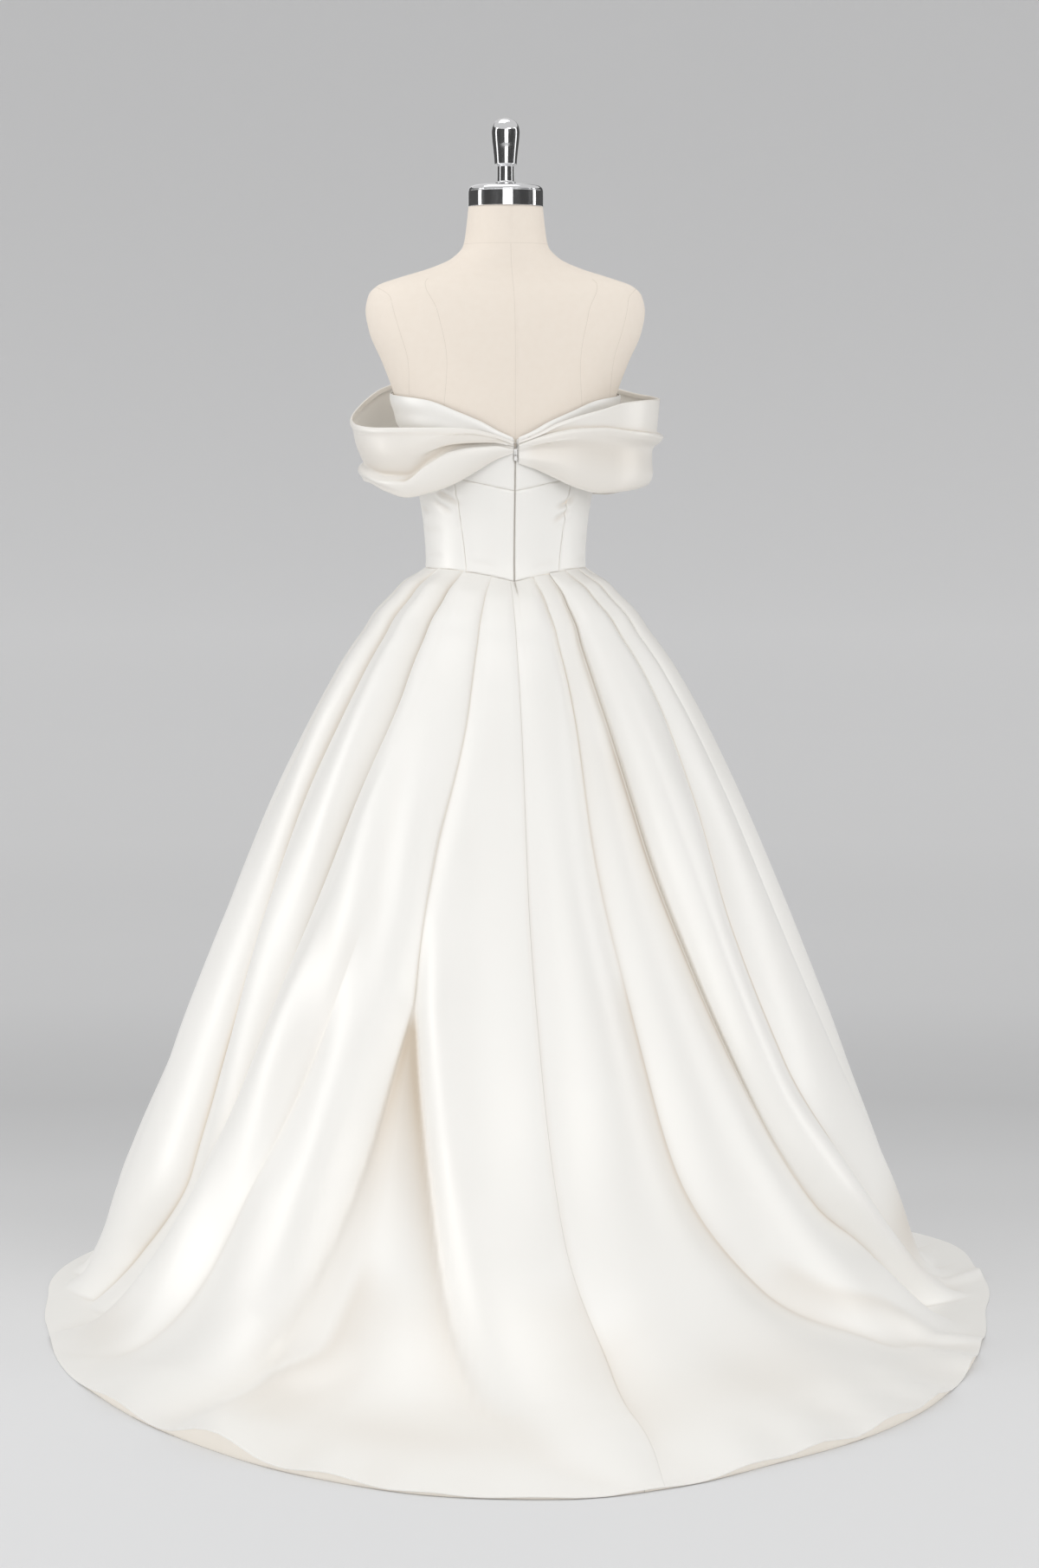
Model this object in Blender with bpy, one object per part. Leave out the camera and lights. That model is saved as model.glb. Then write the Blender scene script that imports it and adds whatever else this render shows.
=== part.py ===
"""An off-shoulder ball-gown wedding dress with a train, standing on a limbless dress form.

Metres, +Z up. The origin is on the floor, under the middle of the form's base. The front of the
dress faces -Y and the train lies towards +Y. An angle on the body is 0 at the centre back, and
grows towards +X, the wearer's left.
"""
import math

import bmesh
import bpy
import numpy as np

# Driving sizes of the cloth.
CLOTH = 0.002
SEAM_GAP = 0.0003
EASE = 0.0012
BAND_GAP = 0.0007
BAND_PUFF = 0.0024
SWAG_GAP = 0.0004
LOOP_Z = 1.170
WAIST_Z = 0.990
WAIST_DIP = 0.0172
NECK_BACK_Z = 1.1665
SKIRT_HALF_WIDTH = 0.58

# Driving sizes of the stand and the form's metal parts.
BASE_RADIUS = 0.17
BASE_HEIGHT = 0.010
POLE_RADIUS = 0.014
FORM_BOTTOM_Z = 0.700
NECK_TOP_Z = 1.4905
CAP_RADIUS = 0.0518
CAP_BAND_TOP_Z = 1.5125
CAP_TOP_Z = 1.5205

# Driving sizes of the zip at the centre back.
ZIP_HALF_GAP = 0.0015
CHAIN_HALF_WIDTH = 0.0012
ZIP_BOTTOM_Z = 0.9745
SLIDER_Z = 1.1480
SWAG_END = 0.0037
HOOK_Z = 1.1595

# The dress form: height, half width, half depth at the back and at the front.
TORSO_COLUMNS = ("z", "half_width", "half_back", "half_front")
TORSO = (
    (0.700, 0.150, 0.105, 0.100),
    (0.730, 0.158, 0.112, 0.105),
    (0.780, 0.163, 0.117, 0.108),
    (0.850, 0.156, 0.112, 0.103),
    (0.920, 0.131, 0.098, 0.094),
    (0.965, 0.113, 0.090, 0.089),
    (1.000, 0.1078, 0.0880, 0.0890),
    (1.050, 0.1110, 0.0905, 0.0950),
    (1.100, 0.1190, 0.0955, 0.1060),
    (1.150, 0.1320, 0.0995, 0.1140),
    (1.190, 0.1440, 0.1010, 0.1170),
    (1.230, 0.1550, 0.1020, 0.1140),
    (1.275, 0.1720, 0.1020, 0.1060),
    (1.315, 0.1895, 0.1000, 0.0970),
    (1.345, 0.1950, 0.0950, 0.0870),
    (1.366, 0.1910, 0.0880, 0.0790),
    (1.380, 0.1780, 0.0800, 0.0720),
    (1.392, 0.1450, 0.0710, 0.0650),
    (1.404, 0.1060, 0.0630, 0.0600),
    (1.418, 0.0750, 0.0575, 0.0560),
    (1.436, 0.0588, 0.0545, 0.0545),
    (1.462, 0.0545, 0.0525, 0.0525),
    (1.4905, 0.0515, 0.0505, 0.0505),
)
# The bust: where it is fullest, how far it stands out, and how far it reaches across and up.
BUST_HEIGHT_Z = 1.180
BUST_ANGLE = math.radians(147)
BUST_DEPTH = 0.012
BUST_ACROSS = math.radians(25)
BUST_UP = 0.046
# The form's rings are closer together where the bodice covers it.
TORSO_SIDES = 40
COVERED_Z = (1.010, 1.260)
COVERED_STEP = 0.024

# Half widths of the turned metal parts, from the bottom up.
CAP_PROFILE = (
    (NECK_TOP_Z + SEAM_GAP, 0.0), (NECK_TOP_Z + SEAM_GAP, CAP_RADIUS), (CAP_BAND_TOP_Z, CAP_RADIUS),
    (CAP_BAND_TOP_Z + 0.003, CAP_RADIUS - 0.001), (CAP_TOP_Z - 0.001, 0.042), (CAP_TOP_Z, 0.034),
    (CAP_TOP_Z, 0.0),
)
FINIAL_PROFILE = (
    (CAP_TOP_Z + SEAM_GAP, 0.0), (CAP_TOP_Z + SEAM_GAP, 0.0115), (1.5450, 0.0112), (1.5480, 0.0150),
    (1.5510, 0.0152), (1.5700, 0.0171), (1.5860, 0.0190), (1.5960, 0.0192), (1.6040, 0.0168),
    (1.6095, 0.0115), (1.6125, 0.0),
)
BASE_PROFILE = (
    (0.0, 0.0), (0.0, BASE_RADIUS), (BASE_HEIGHT - 0.003, BASE_RADIUS), (BASE_HEIGHT, BASE_RADIUS - 0.004),
    (BASE_HEIGHT, 0.0),
)
POLE_PROFILE = (
    (BASE_HEIGHT + SEAM_GAP, 0.0), (BASE_HEIGHT + SEAM_GAP, 0.030), (BASE_HEIGHT + 0.012, 0.030),
    (BASE_HEIGHT + 0.022, POLE_RADIUS), (FORM_BOTTOM_Z - SEAM_GAP, POLE_RADIUS),
    (FORM_BOTTOM_Z - SEAM_GAP, 0.0),
)

# Heights of the bodice's edges, in metres, over the angle in degrees from the centre back. Both
# sides are the same.
EDGE_COLUMNS = ("angle", "top_z", "waist_z", "yoke_z")
EDGES = (
    (0, NECK_BACK_Z, WAIST_Z - WAIST_DIP, 1.0968),
    (12, 1.1765, 0.9775, 1.1010),
    (25, 1.1900, 0.9820, 1.1062),
    (40, 1.2030, 0.9860, 1.1120),
    (60, 1.2200, 0.9895, 1.1200),
    (90, 1.2290, WAIST_Z, 1.1300),
    (115, 1.2360, WAIST_Z, 1.1300),
    (145, 1.2440, 0.9850, 1.1300),
    (165, 1.2320, 0.9780, 1.1300),
    (180, 1.2180, 0.9740, 1.1300),
)

# Rows of points on the bodice's panels, below and above the height of the yoke's seam.
ROWS_BELOW_YOKE = 6
ROWS_ABOVE_YOKE = 7
# Seams of the bodice: angle at the waist and at the top edge.
SEAMS = {
    "princess_back": (41, 52),
    "side": (92, 92),
    "princess_front": (154, 145),
}

# The fall of the skirt at its side: share of the height fallen, share of the spread reached.
FALL = (
    (0.0, 0.0), (0.018, 0.054), (0.042, 0.101), (0.067, 0.151), (0.091, 0.183), (0.115, 0.219),
    (0.139, 0.252), (0.164, 0.282), (0.188, 0.310), (0.236, 0.361), (0.333, 0.456), (0.430, 0.542),
    (0.527, 0.624), (0.624, 0.703), (0.721, 0.776), (0.794, 0.837), (0.867, 0.899), (1.0, 1.0),
)

# The hem on the floor: angle from the centre back and distance from the middle.
HEM = (
    (-180, 0.620), (-140, 0.660), (-107, 0.700), (-87, 0.665), (-69, 0.668), (-51, 0.726), (-36, 0.828),
    (-24, 0.941), (-16, 1.020), (-8.8, 1.086), (-2.2, 1.160), (4.4, 1.202), (9.6, 1.195), (19, 1.122),
    (29, 1.005), (46, 0.833), (72, 0.670), (91, 0.630), (120, 0.631), (150, 0.620), (180, 0.620),
)

# The skirt's folds, in degrees and metres. Each is a valley that starts under a waist pleat, with
# its angle at eight shares of the way from the waist to the hem, its depth, its reach on its + and
# - side, and the share of the way down where it starts. A negative depth is a ridge.
FOLD_SHARES = (0.0, 0.15, 0.30, 0.45, 0.60, 0.75, 0.88, 1.0)
FOLD_COLUMNS = ("angles", "depth", "plus_reach", "minus_reach", "start")
FOLDS = (
    ((180, 181, 181, 182, 182, 181, 180, 179), 0.024, 5, 6, 0.0),
    ((162, 162, 163, 163, 163, 163, 164, 164), 0.028, 6, 4, 0.0),
    ((145, 145, 145, 146, 146, 147, 147, 148), 0.022, 4, 6, 0.0),
    ((126, 127, 128, 128, 129, 130, 131, 132), 0.030, 6, 4, 0.0),
    ((107, 109, 110, 111, 112, 113, 115, 118), 0.024, 5, 5, 0.0),
    ((88, 89, 91, 92, 92, 91, 96, 102), 0.022, 6, 4, 0.0),
    ((66, 67, 70, 71, 69.5, 69, 77, 87), 0.022, 5, 5, 0.0),
    ((41.5, 41.5, 47.5, 51.3, 56.3, 61.5, 68, 74), 0.032, 8, 3, 0.0),
    ((31, 30, 31.5, 36, 41.5, 47, 51, 54), 0.012, 5, 5, 0.25),
    ((19.5, 18.2, 21.8, 22.9, 22.3, 20.8, 18.5, 16.5), 0.036, 3, 3, 0.0),
    ((3.5, 3.2, 3.3, 2.4, 0.7, -1.8, -2.0, -1.2), 0.005, 3, 3, 0.0),
    ((-16.5, -14.3, -11.8, -13.7, -16.2, -24, -37, -48), 0.024, 5, 6, 0.0),
    ((-31.5, -25.5, -26, -29.4, -34.5, -42.5, -58, -70), 0.032, 6, 3, 0.0),
    ((-47, -49, -46.5, -42.5, -44.5, -54, -68, -82), 0.018, 4, 6, 0.0),
    ((-63, -66, -67, -66, -68, -75, -84, -95), 0.024, 5, 5, 0.0),
    ((-80, -84, -86, -87, -89, -93, -99, -107), 0.022, 4, 6, 0.0),
    ((-98, -101, -104, -106, -108, -111, -115, -121), 0.028, 6, 5, 0.0),
    ((-116, -119, -122, -124, -126, -128, -132, -137), 0.024, 5, 5, 0.0),
    ((-135, -137, -140, -142, -143, -145, -148, -152), 0.030, 4, 6, 0.0),
    ((-157, -158, -160, -161, -161, -163, -165, -167), 0.022, 6, 5, 0.0),
)
POCKET_FOLD = 9
POCKET_START = 0.43
POCKET_OPENING = 34.0
POCKET_LIMIT = 12.0
# How much of its depth a fold has at each share of the way to the hem.
DEPTH_SHARES = ((0.0, 0.0), (0.02, 0.13), (0.06, 0.27), (0.15, 0.46), (0.30, 0.68), (0.45, 0.88),
                (0.60, 1.0), (0.75, 0.95), (0.88, 0.45), (1.0, 0.15))
# The hem's waves where it lies on the floor: angle, half width in degrees, height.
HEM_WAVES = (
    (39.6, 7.0, 0.008), (26.3, 3.0, 0.014), (17.6, 2.6, 0.007), (5.9, 2.6, 0.006), (-7.2, 2.7, 0.007),
    (-12.9, 2.7, 0.008), (-20.0, 3.3, 0.007), (-28.0, 2.7, 0.008), (-40.0, 3.0, 0.008),
)
WAVE_LENGTH = 0.10

# Columns of the mesh between one valley and the next, and its rows from the waist to the hem.
BACK_STEPS = (0.0, 0.14, 0.38, 0.64, 0.86)
FRONT_STEPS = (0.0, 0.22, 0.52, 0.80)
SKIRT_ROWS = (0.0, 0.012, 0.03, 0.06, 0.10, 0.15, 0.21, 0.28, 0.36, 0.44, 0.52, 0.59, 0.66, 0.72, 0.78,
              0.84, 0.89, 0.935, 0.97, 1.0)
# The skirt's pieces, each from one fold's valley to the next one named.
GORES = (
    ("skirt_front_left", 0, 3), ("skirt_side_left", 3, 7), ("skirt_back_left", 7, 10),
    ("skirt_back_right", 10, 12), ("skirt_side_right", 12, 16), ("skirt_front_right", 16, 20),
)

# The swags over the angle from the centre back: how far they stand off the body, the heights of
# their top edge, upper fold, lower fold and bottom edge, and how full their folds are.
SWAG_COLUMNS = ("angle", "stand_off", "top_z", "upper_z", "lower_z", "bottom_z", "arm")
SWAG_LEFT = (
    (2, 0.0052, 1.1635, 1.1610, 1.1565, 1.1490, 0.0),
    (15, 0.0085, 1.1730, 1.1700, 1.1625, 1.1390, 0.0),
    (27, 0.0130, 1.1795, 1.1745, 1.1630, 1.1240, 0.0),
    (40, 0.0200, 1.1825, 1.1765, 1.1570, 1.1060, 0.0),
    (52, 0.0300, 1.1830, 1.1765, 1.1380, 1.0940, 0.1),
    (62, 0.0410, 1.1830, 1.1760, 1.1175, 1.0880, 0.35),
    (72, 0.0520, 1.1830, 1.1760, 1.1190, 1.0960, 0.7),
    (85, 0.0610, 1.1875, 1.1800, 1.1290, 1.1080, 1.0),
    (97, 0.0640, 1.1980, 1.1890, 1.1370, 1.1100, 1.0),
    (110, 0.0610, 1.2170, 1.2050, 1.1440, 1.1060, 0.8),
    (122, 0.0500, 1.2400, 1.2250, 1.1500, 1.0980, 0.4),
    (135, 0.0340, 1.2510, 1.2370, 1.1540, 1.0960, 0.1),
    (150, 0.0170, 1.2520, 1.2390, 1.1600, 1.1020, 0.0),
    (165, 0.0100, 1.2400, 1.2300, 1.1650, 1.1200, 0.0),
    (178, 0.0052, 1.2220, 1.2150, 1.1700, 1.1380, 0.0),
)
SWAG_RIGHT = (
    (2, 0.0052, 1.1640, 1.1600, 1.1500, 1.1350, 0.0),
    (15, 0.0085, 1.1745, 1.1700, 1.1540, 1.1265, 0.0),
    (27, 0.0130, 1.1880, 1.1775, 1.1560, 1.1150, 0.0),
    (40, 0.0205, 1.1990, 1.1820, 1.1550, 1.1010, 0.1),
    (52, 0.0310, 1.2085, 1.1830, 1.1500, 1.0940, 0.3),
    (62, 0.0440, 1.2180, 1.1790, 1.1450, 1.0955, 0.6),
    (72, 0.0560, 1.2215, 1.1760, 1.1420, 1.0990, 0.9),
    (85, 0.0650, 1.2235, 1.1730, 1.1400, 1.1040, 1.0),
    (97, 0.0660, 1.2270, 1.1780, 1.1430, 1.1030, 1.0),
    (110, 0.0600, 1.2330, 1.1900, 1.1480, 1.0960, 0.8),
    (122, 0.0490, 1.2430, 1.2030, 1.1520, 1.0900, 0.4),
    (135, 0.0330, 1.2510, 1.2100, 1.1560, 1.0920, 0.1),
    (150, 0.0170, 1.2520, 1.2120, 1.1600, 1.1010, 0.0),
    (165, 0.0100, 1.2400, 1.2050, 1.1650, 1.1200, 0.0),
    (178, 0.0052, 1.2220, 1.1980, 1.1700, 1.1380, 0.0),
)
# A swag's section from its top edge down: the height it hangs from, how far above that height, and
# how far out it stands on the back and round the arm.
SECTION_COLUMNS = ("from", "above", "out_back", "out_arm")
SECTION_LEFT = (
    ("top_z", 0.0000, -0.0010, 0.0095),
    ("top_z", -0.0045, 0.0012, 0.0100),
    ("upper_z", -0.0040, 0.0020, 0.0050),
    ("middle", 0.0060, 0.0045, 0.0010),
    ("middle", -0.0080, 0.0055, 0.0000),
    ("lower_z", 0.0055, 0.0048, 0.0000),
    ("lower_z", -0.0005, -0.0030, -0.0045),
    ("lower_z", -0.0060, -0.0005, -0.0030),
    ("low_middle", 0.0000, 0.0030, -0.0025),
    ("bottom_z", 0.0050, 0.0010, -0.0060),
    ("bottom_z", 0.0000, -0.0030, -0.0110),
)
SECTION_RIGHT = (
    ("top_z", 0.0000, -0.0010, 0.0090),
    ("top_z", -0.0045, 0.0005, 0.0085),
    ("upper_z", 0.0060, -0.0010, 0.0040),
    ("upper_z", 0.0008, -0.0012, 0.0045),
    ("upper_z", -0.0025, 0.0040, 0.0130),
    ("upper_z", -0.0090, 0.0055, 0.0100),
    ("middle", -0.0020, 0.0060, 0.0000),
    ("lower_z", 0.0000, 0.0015, -0.0015),
    ("low_middle", 0.0000, 0.0045, -0.0010),
    ("bottom_z", 0.0060, 0.0020, -0.0040),
    ("bottom_z", 0.0000, -0.0030, -0.0110),
)

# Looks of each kind of piece: colour, roughness, metallic.
LOOKS = {
    "satin": ((0.90, 0.88, 0.85), 0.38, 0.0),
    "linen": ((0.84, 0.77, 0.68), 0.85, 0.0),
    "chrome": ((0.80, 0.80, 0.81), 0.10, 1.0),
    "nickel": ((0.72, 0.72, 0.73), 0.25, 1.0),
    "steel": ((0.78, 0.78, 0.78), 0.30, 1.0),
    "zip": ((0.78, 0.76, 0.73), 0.50, 0.0),
}


def clear_scene():
    """Remove every object of the scene that the script starts in."""
    for thing in list(bpy.data.objects):
        bpy.data.objects.remove(thing, do_unlink=True)


def look(name):
    """Give one of the object's materials, made the first time it is asked for."""
    found = bpy.data.materials.get(name)
    if found:
        return found
    colour, roughness, metallic = LOOKS[name]
    made = bpy.data.materials.new(name)
    made.use_nodes = True
    shader = made.node_tree.nodes["Principled BSDF"]
    shader.inputs["Base Color"].default_value = (*colour, 1.0)
    shader.inputs["Roughness"].default_value = roughness
    shader.inputs["Metallic"].default_value = metallic
    return made


def smooth_read(table, column, where):
    """Read a column of a table at any place of its first column, along a smooth monotone curve."""
    rows = np.array([(row[0], row[column]) for row in table], dtype=float)
    x, y = rows[:, 0], rows[:, 1]
    steps = np.diff(x)
    slopes = np.diff(y) / steps
    tangent = np.zeros_like(y)
    tangent[0], tangent[-1] = slopes[0], slopes[-1]
    same_way = slopes[1:] * slopes[:-1] > 0
    weight_1 = 2 * steps[1:] + steps[:-1]
    weight_2 = steps[1:] + 2 * steps[:-1]
    safe_1 = np.where(same_way, slopes[:-1], 1.0)
    safe_2 = np.where(same_way, slopes[1:], 1.0)
    mean = (weight_1 + weight_2) / (weight_1 / safe_1 + weight_2 / safe_2)
    tangent[1:-1] = np.where(same_way, mean, 0.0)
    where = np.clip(np.asarray(where, dtype=float), x[0], x[-1])
    cell = np.clip(np.searchsorted(x, where, side="right") - 1, 0, len(x) - 2)
    width = steps[cell]
    part = (where - x[cell]) / width
    start = y[cell] * (1 + 2 * part) * (1 - part) ** 2 + tangent[cell] * width * part * (1 - part) ** 2
    end = y[cell + 1] * part ** 2 * (3 - 2 * part) - tangent[cell + 1] * width * part ** 2 * (1 - part)
    return start + end


def smooth_step(value):
    """Go from 0 to 1 with level ends as the value goes from 0 to 1."""
    value = np.clip(value, 0.0, 1.0)
    return value * value * (3 - 2 * value)


def spot(radius, angle, height):
    """Turn a distance, an angle from the centre back and a height into a point."""
    return np.stack((radius * np.sin(angle), radius * np.cos(angle), height + 0 * radius), axis=-1)


def edge_height(name, angle):
    """Give the height of one of the bodice's edges at an angle in radians."""
    turned = np.abs(np.degrees(np.arctan2(np.sin(angle), np.cos(angle))))
    return smooth_read(EDGES, EDGE_COLUMNS.index(name), turned)


def torso_radius(angle, height):
    """Give the form's distance from its axis at an angle and a height."""
    half_width = smooth_read(TORSO, 1, height)
    half_back = smooth_read(TORSO, 2, height)
    half_front = smooth_read(TORSO, 3, height)
    half_depth = np.where(np.cos(angle) > 0, half_back, half_front)
    ring = 1 / np.sqrt((np.sin(angle) / half_width) ** 2 + (np.cos(angle) / half_depth) ** 2)
    turned = np.abs(np.arctan2(np.sin(angle), np.cos(angle)))
    across = (turned - BUST_ANGLE) / BUST_ACROSS
    up = (height - BUST_HEIGHT_Z) / BUST_UP
    return ring + BUST_DEPTH * np.exp(-across ** 2 - up ** 2)


def bodice_radius(angle, height):
    """Give the outer face of the bodice at an angle and a height."""
    return torso_radius(angle, height) + EASE + CLOTH


def bodice_normal(angle, height):
    """Give the bodice's outward direction, from two small steps along its face."""
    step = 0.001
    along = (spot(bodice_radius(angle + step, height), angle + step, height)
             - spot(bodice_radius(angle - step, height), angle - step, height))
    up = (spot(bodice_radius(angle, height + step), angle, height + step)
          - spot(bodice_radius(angle, height - step), angle, height - step))
    normal = np.cross(up, along)
    return normal / np.linalg.norm(normal, axis=-1, keepdims=True)


def add_mesh(name, points, faces, material, smooth=True):
    """Make an object of points and faces, with its faces turned outwards."""
    mesh = bpy.data.meshes.new(name)
    mesh.from_pydata([tuple(map(float, point)) for point in points], [], faces)
    shape = bmesh.new()
    shape.from_mesh(mesh)
    bmesh.ops.recalc_face_normals(shape, faces=shape.faces)
    shape.to_mesh(mesh)
    shape.free()
    if smooth:
        mesh.shade_smooth()
        mesh.set_sharp_from_angle(angle=math.radians(40))
    mesh.materials.append(look(material))
    thing = bpy.data.objects.new(name, mesh)
    bpy.context.collection.objects.link(thing)
    return thing


def add_wall(name, outer, normal, material="satin", thickness=CLOTH, floor=None):
    """Make a closed wall of cloth from a grid of outer points and their outward directions."""
    rows, columns = outer.shape[:2]
    inner = outer - normal * thickness
    if floor is not None:
        inner[..., 2] = np.maximum(inner[..., 2], floor)
    points = np.concatenate((outer.reshape(-1, 3), inner.reshape(-1, 3)))
    layer = rows * columns
    faces = []
    for row in range(rows - 1):
        for column in range(columns - 1):
            corner = row * columns + column
            across, below, beyond = corner + 1, corner + columns, corner + columns + 1
            for face in ((corner, across, beyond), (corner, beyond, below)):
                faces.append(face)
                faces.append(tuple(index + layer for index in reversed(face)))
    rim = [column for column in range(columns)]
    rim += [row * columns + columns - 1 for row in range(1, rows)]
    rim += [(rows - 1) * columns + column for column in range(columns - 2, -1, -1)]
    rim += [row * columns for row in range(rows - 2, 0, -1)]
    for index, start in enumerate(rim):
        end = rim[(index + 1) % len(rim)]
        faces.append((end, start, start + layer, end + layer))
    return add_mesh(name, points, faces, material)


def add_turned(name, profile, material, sides=40):
    """Make a solid of revolution about the vertical axis from heights and half widths."""
    points = []
    rings = []
    for height, radius in profile:
        if radius == 0.0:
            rings.append([len(points)])
            points.append((0.0, 0.0, height))
            continue
        rings.append(list(range(len(points), len(points) + sides)))
        for side in range(sides):
            turn = 2 * math.pi * side / sides
            points.append((radius * math.cos(turn), radius * math.sin(turn), height))
    faces = []
    for low, high in zip(rings, rings[1:]):
        for side in range(sides):
            following = (side + 1) % sides
            if len(low) == 1:
                faces.append((low[0], high[side], high[following]))
            elif len(high) == 1:
                faces.append((low[side], low[following], high[0]))
            else:
                faces.append((low[side], low[following], high[following], high[side]))
    return add_mesh(name, points, faces, material)


def add_box(shape, low, high):
    """Add a box between two corners to a bmesh."""
    corners = [shape.verts.new((x, y, z)) for x in (low[0], high[0]) for y in (low[1], high[1])
               for z in (low[2], high[2])]
    for face in ((0, 1, 3, 2), (4, 6, 7, 5), (0, 4, 5, 1), (2, 3, 7, 6), (0, 2, 6, 4), (1, 5, 7, 3)):
        shape.faces.new([corners[index] for index in face])


def make_torso():
    """Make the limbless form, from its hip to the seat of its neck cap."""
    low, high = COVERED_Z
    sides = TORSO_SIDES
    heights = [row[0] for row in TORSO if not low <= row[0] <= high]
    heights = sorted(heights + list(np.arange(low, high, COVERED_STEP)))
    turns = np.arange(sides) * 2 * math.pi / sides
    points = [spot(torso_radius(turns, height), turns, height) for height in heights]
    faces = []
    for row in range(len(heights) - 1):
        for side in range(sides):
            following = (side + 1) % sides
            faces.append((row * sides + side, row * sides + following, (row + 1) * sides + following,
                          (row + 1) * sides + side))
    faces.append(tuple(range(sides)))
    faces.append(tuple((len(heights) - 1) * sides + side for side in range(sides)))
    add_mesh("form_torso", np.concatenate(points), faces, "linen")


def seam_angle(name, height):
    """Give the angle of a bodice seam at a height, in radians."""
    at_waist, at_top = SEAMS[name]
    return math.radians(1) * np.interp(height, (WAIST_Z, 1.19), (at_waist, at_top))


def make_panel(name, side, first, last, bottom, top, columns):
    """Make one bodice panel between two seams and two edges, on the side given by its sign."""
    lower = np.linspace(0.0, 1.0, ROWS_BELOW_YOKE)[:, None]
    upper = np.linspace(0.0, 1.0, ROWS_ABOVE_YOKE)[:, None]
    share_across = np.linspace(0.0, 1.0, columns)[None, :]

    def rows_between(low_name, high_name, share_up, low_gap, high_gap):
        height = 1.1 + 0 * share_up + 0 * share_across
        for _ in range(6):
            start, end = first(height), last(height)
            angle = start + (end - start) * share_across
            low = edge_height(low_name, angle) + low_gap
            high = edge_height(high_name, angle) - high_gap
            height = low + (high - low) * share_up
        return angle, height

    parts = []
    half_gap = SEAM_GAP / 2
    if bottom == "waist_z":
        yoke_gap = half_gap if top == "yoke_z" else 0.0
        parts.append(rows_between("waist_z", "yoke_z", lower, half_gap, yoke_gap))
    if top == "top_z":
        yoke_gap = half_gap if bottom == "yoke_z" else 0.0
        parts.append(rows_between("yoke_z", "top_z", upper, yoke_gap, 0.0))
    if len(parts) == 2:
        parts[1] = (parts[1][0][1:], parts[1][1][1:])
    angle = side * np.concatenate([part[0] for part in parts])
    height = np.concatenate([part[1] for part in parts])
    outer = spot(bodice_radius(angle, height), angle, height)
    add_wall(name, outer, bodice_normal(angle, height))


def body_gap(angle_function, sign):
    """Move a seam line by half the gap between two pieces."""
    def moved(height):
        angle = angle_function(height)
        return angle + sign * (SEAM_GAP / 2) / bodice_radius(angle, height)
    return moved


def make_bodice():
    """Make the bodice's panels: back, yoke, side back and side front on each side, and the front."""
    def zip_edge(height):
        return ZIP_HALF_GAP / bodice_radius(0 * height, height)

    def line(name):
        return lambda height: seam_angle(name, height)

    for side, label in ((1, "left"), (-1, "right")):
        back, under_arm, front = line("princess_back"), line("side"), line("princess_front")
        make_panel("bodice_back_" + label, side, zip_edge, body_gap(back, -1), "waist_z", "yoke_z", 8)
        make_panel("back_yoke_" + label, side, zip_edge, body_gap(back, -1), "yoke_z", "top_z", 8)
        make_panel("side_back_" + label, side, body_gap(back, 1), body_gap(under_arm, -1),
                   "waist_z", "top_z", 7)
        make_panel("side_front_" + label, side, body_gap(under_arm, 1), body_gap(front, -1),
                   "waist_z", "top_z", 9)

    def mirrored_front(height):
        return 2 * math.pi - body_gap(line("princess_front"), 1)(height)

    make_panel("centre_front", 1, body_gap(line("princess_front"), 1), mirrored_front,
               "waist_z", "top_z", 11)


def band_puff(degrees):
    """Give how far the neckline's folded band swells, which is nothing where the swags end."""
    return BAND_PUFF * smooth_step(degrees / 20) * smooth_step((180 - degrees) / 20)


def make_neck_bands():
    """Make the band of cloth folded along the neckline, which hugs the body inside each arm loop."""
    shares = np.array((0.0, 0.15, 0.5, 1.0))[:, None]
    swelling = np.array((0.0, 0.55, 1.0, 0.0))[:, None]
    for side, label in ((1, "left"), (-1, "right")):
        degrees = np.linspace(2.2, 178.0, 25)[None, :]
        angle = side * np.radians(degrees)
        angle[0, 0] = side * SWAG_END / 0.105
        depth = np.interp(degrees, (2, 20, 60, 150, 178), (0.012, 0.030, 0.045, 0.045, 0.030))
        height = edge_height("top_z", angle) + 0.0015 - depth * shares
        normal = bodice_normal(angle, height)
        outer = spot(bodice_radius(angle, height), angle, height)
        outer = outer + normal * (BAND_GAP + CLOTH + swelling * band_puff(degrees))[..., None]
        add_wall("neck_band_" + label, outer, normal)


def swag_surface(table, section, side, degrees):
    """Work out a swag's outer face: a row for each line of its section, a column for each angle."""
    read = {name: smooth_read(table, index, degrees) for index, name in enumerate(SWAG_COLUMNS)}
    read["middle"] = (read["upper_z"] + read["lower_z"]) / 2
    read["low_middle"] = (read["lower_z"] + read["bottom_z"]) / 2
    angle = side * np.radians(degrees)
    angle[0] = side * SWAG_END / 0.110
    drop = read["top_z"] - read["bottom_z"]
    fullness = np.clip(drop / 0.060, 0.25, 1.0)
    level_path = bodice_radius(angle, 0 * angle + LOOP_Z)
    leaving = smooth_step((read["stand_off"] - 0.005) / 0.015)
    lines = []
    height = read["top_z"] + drop
    least_step = 0.3 * drop / (len(section) - 1)
    for base, above, out_back, out_arm in section:
        height = np.minimum(read[base] + above * fullness, height - least_step)
        out = (out_back + (out_arm - out_back) * read["arm"]) * fullness
        body = bodice_radius(angle, height)
        path = body + (level_path - body) * leaving + read["stand_off"]
        least = body + BAND_GAP + CLOTH + band_puff(degrees) + SWAG_GAP + CLOTH
        radius = np.maximum(path + out, least)
        lines.append(spot(radius, angle, height))
    return np.stack(lines)


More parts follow.
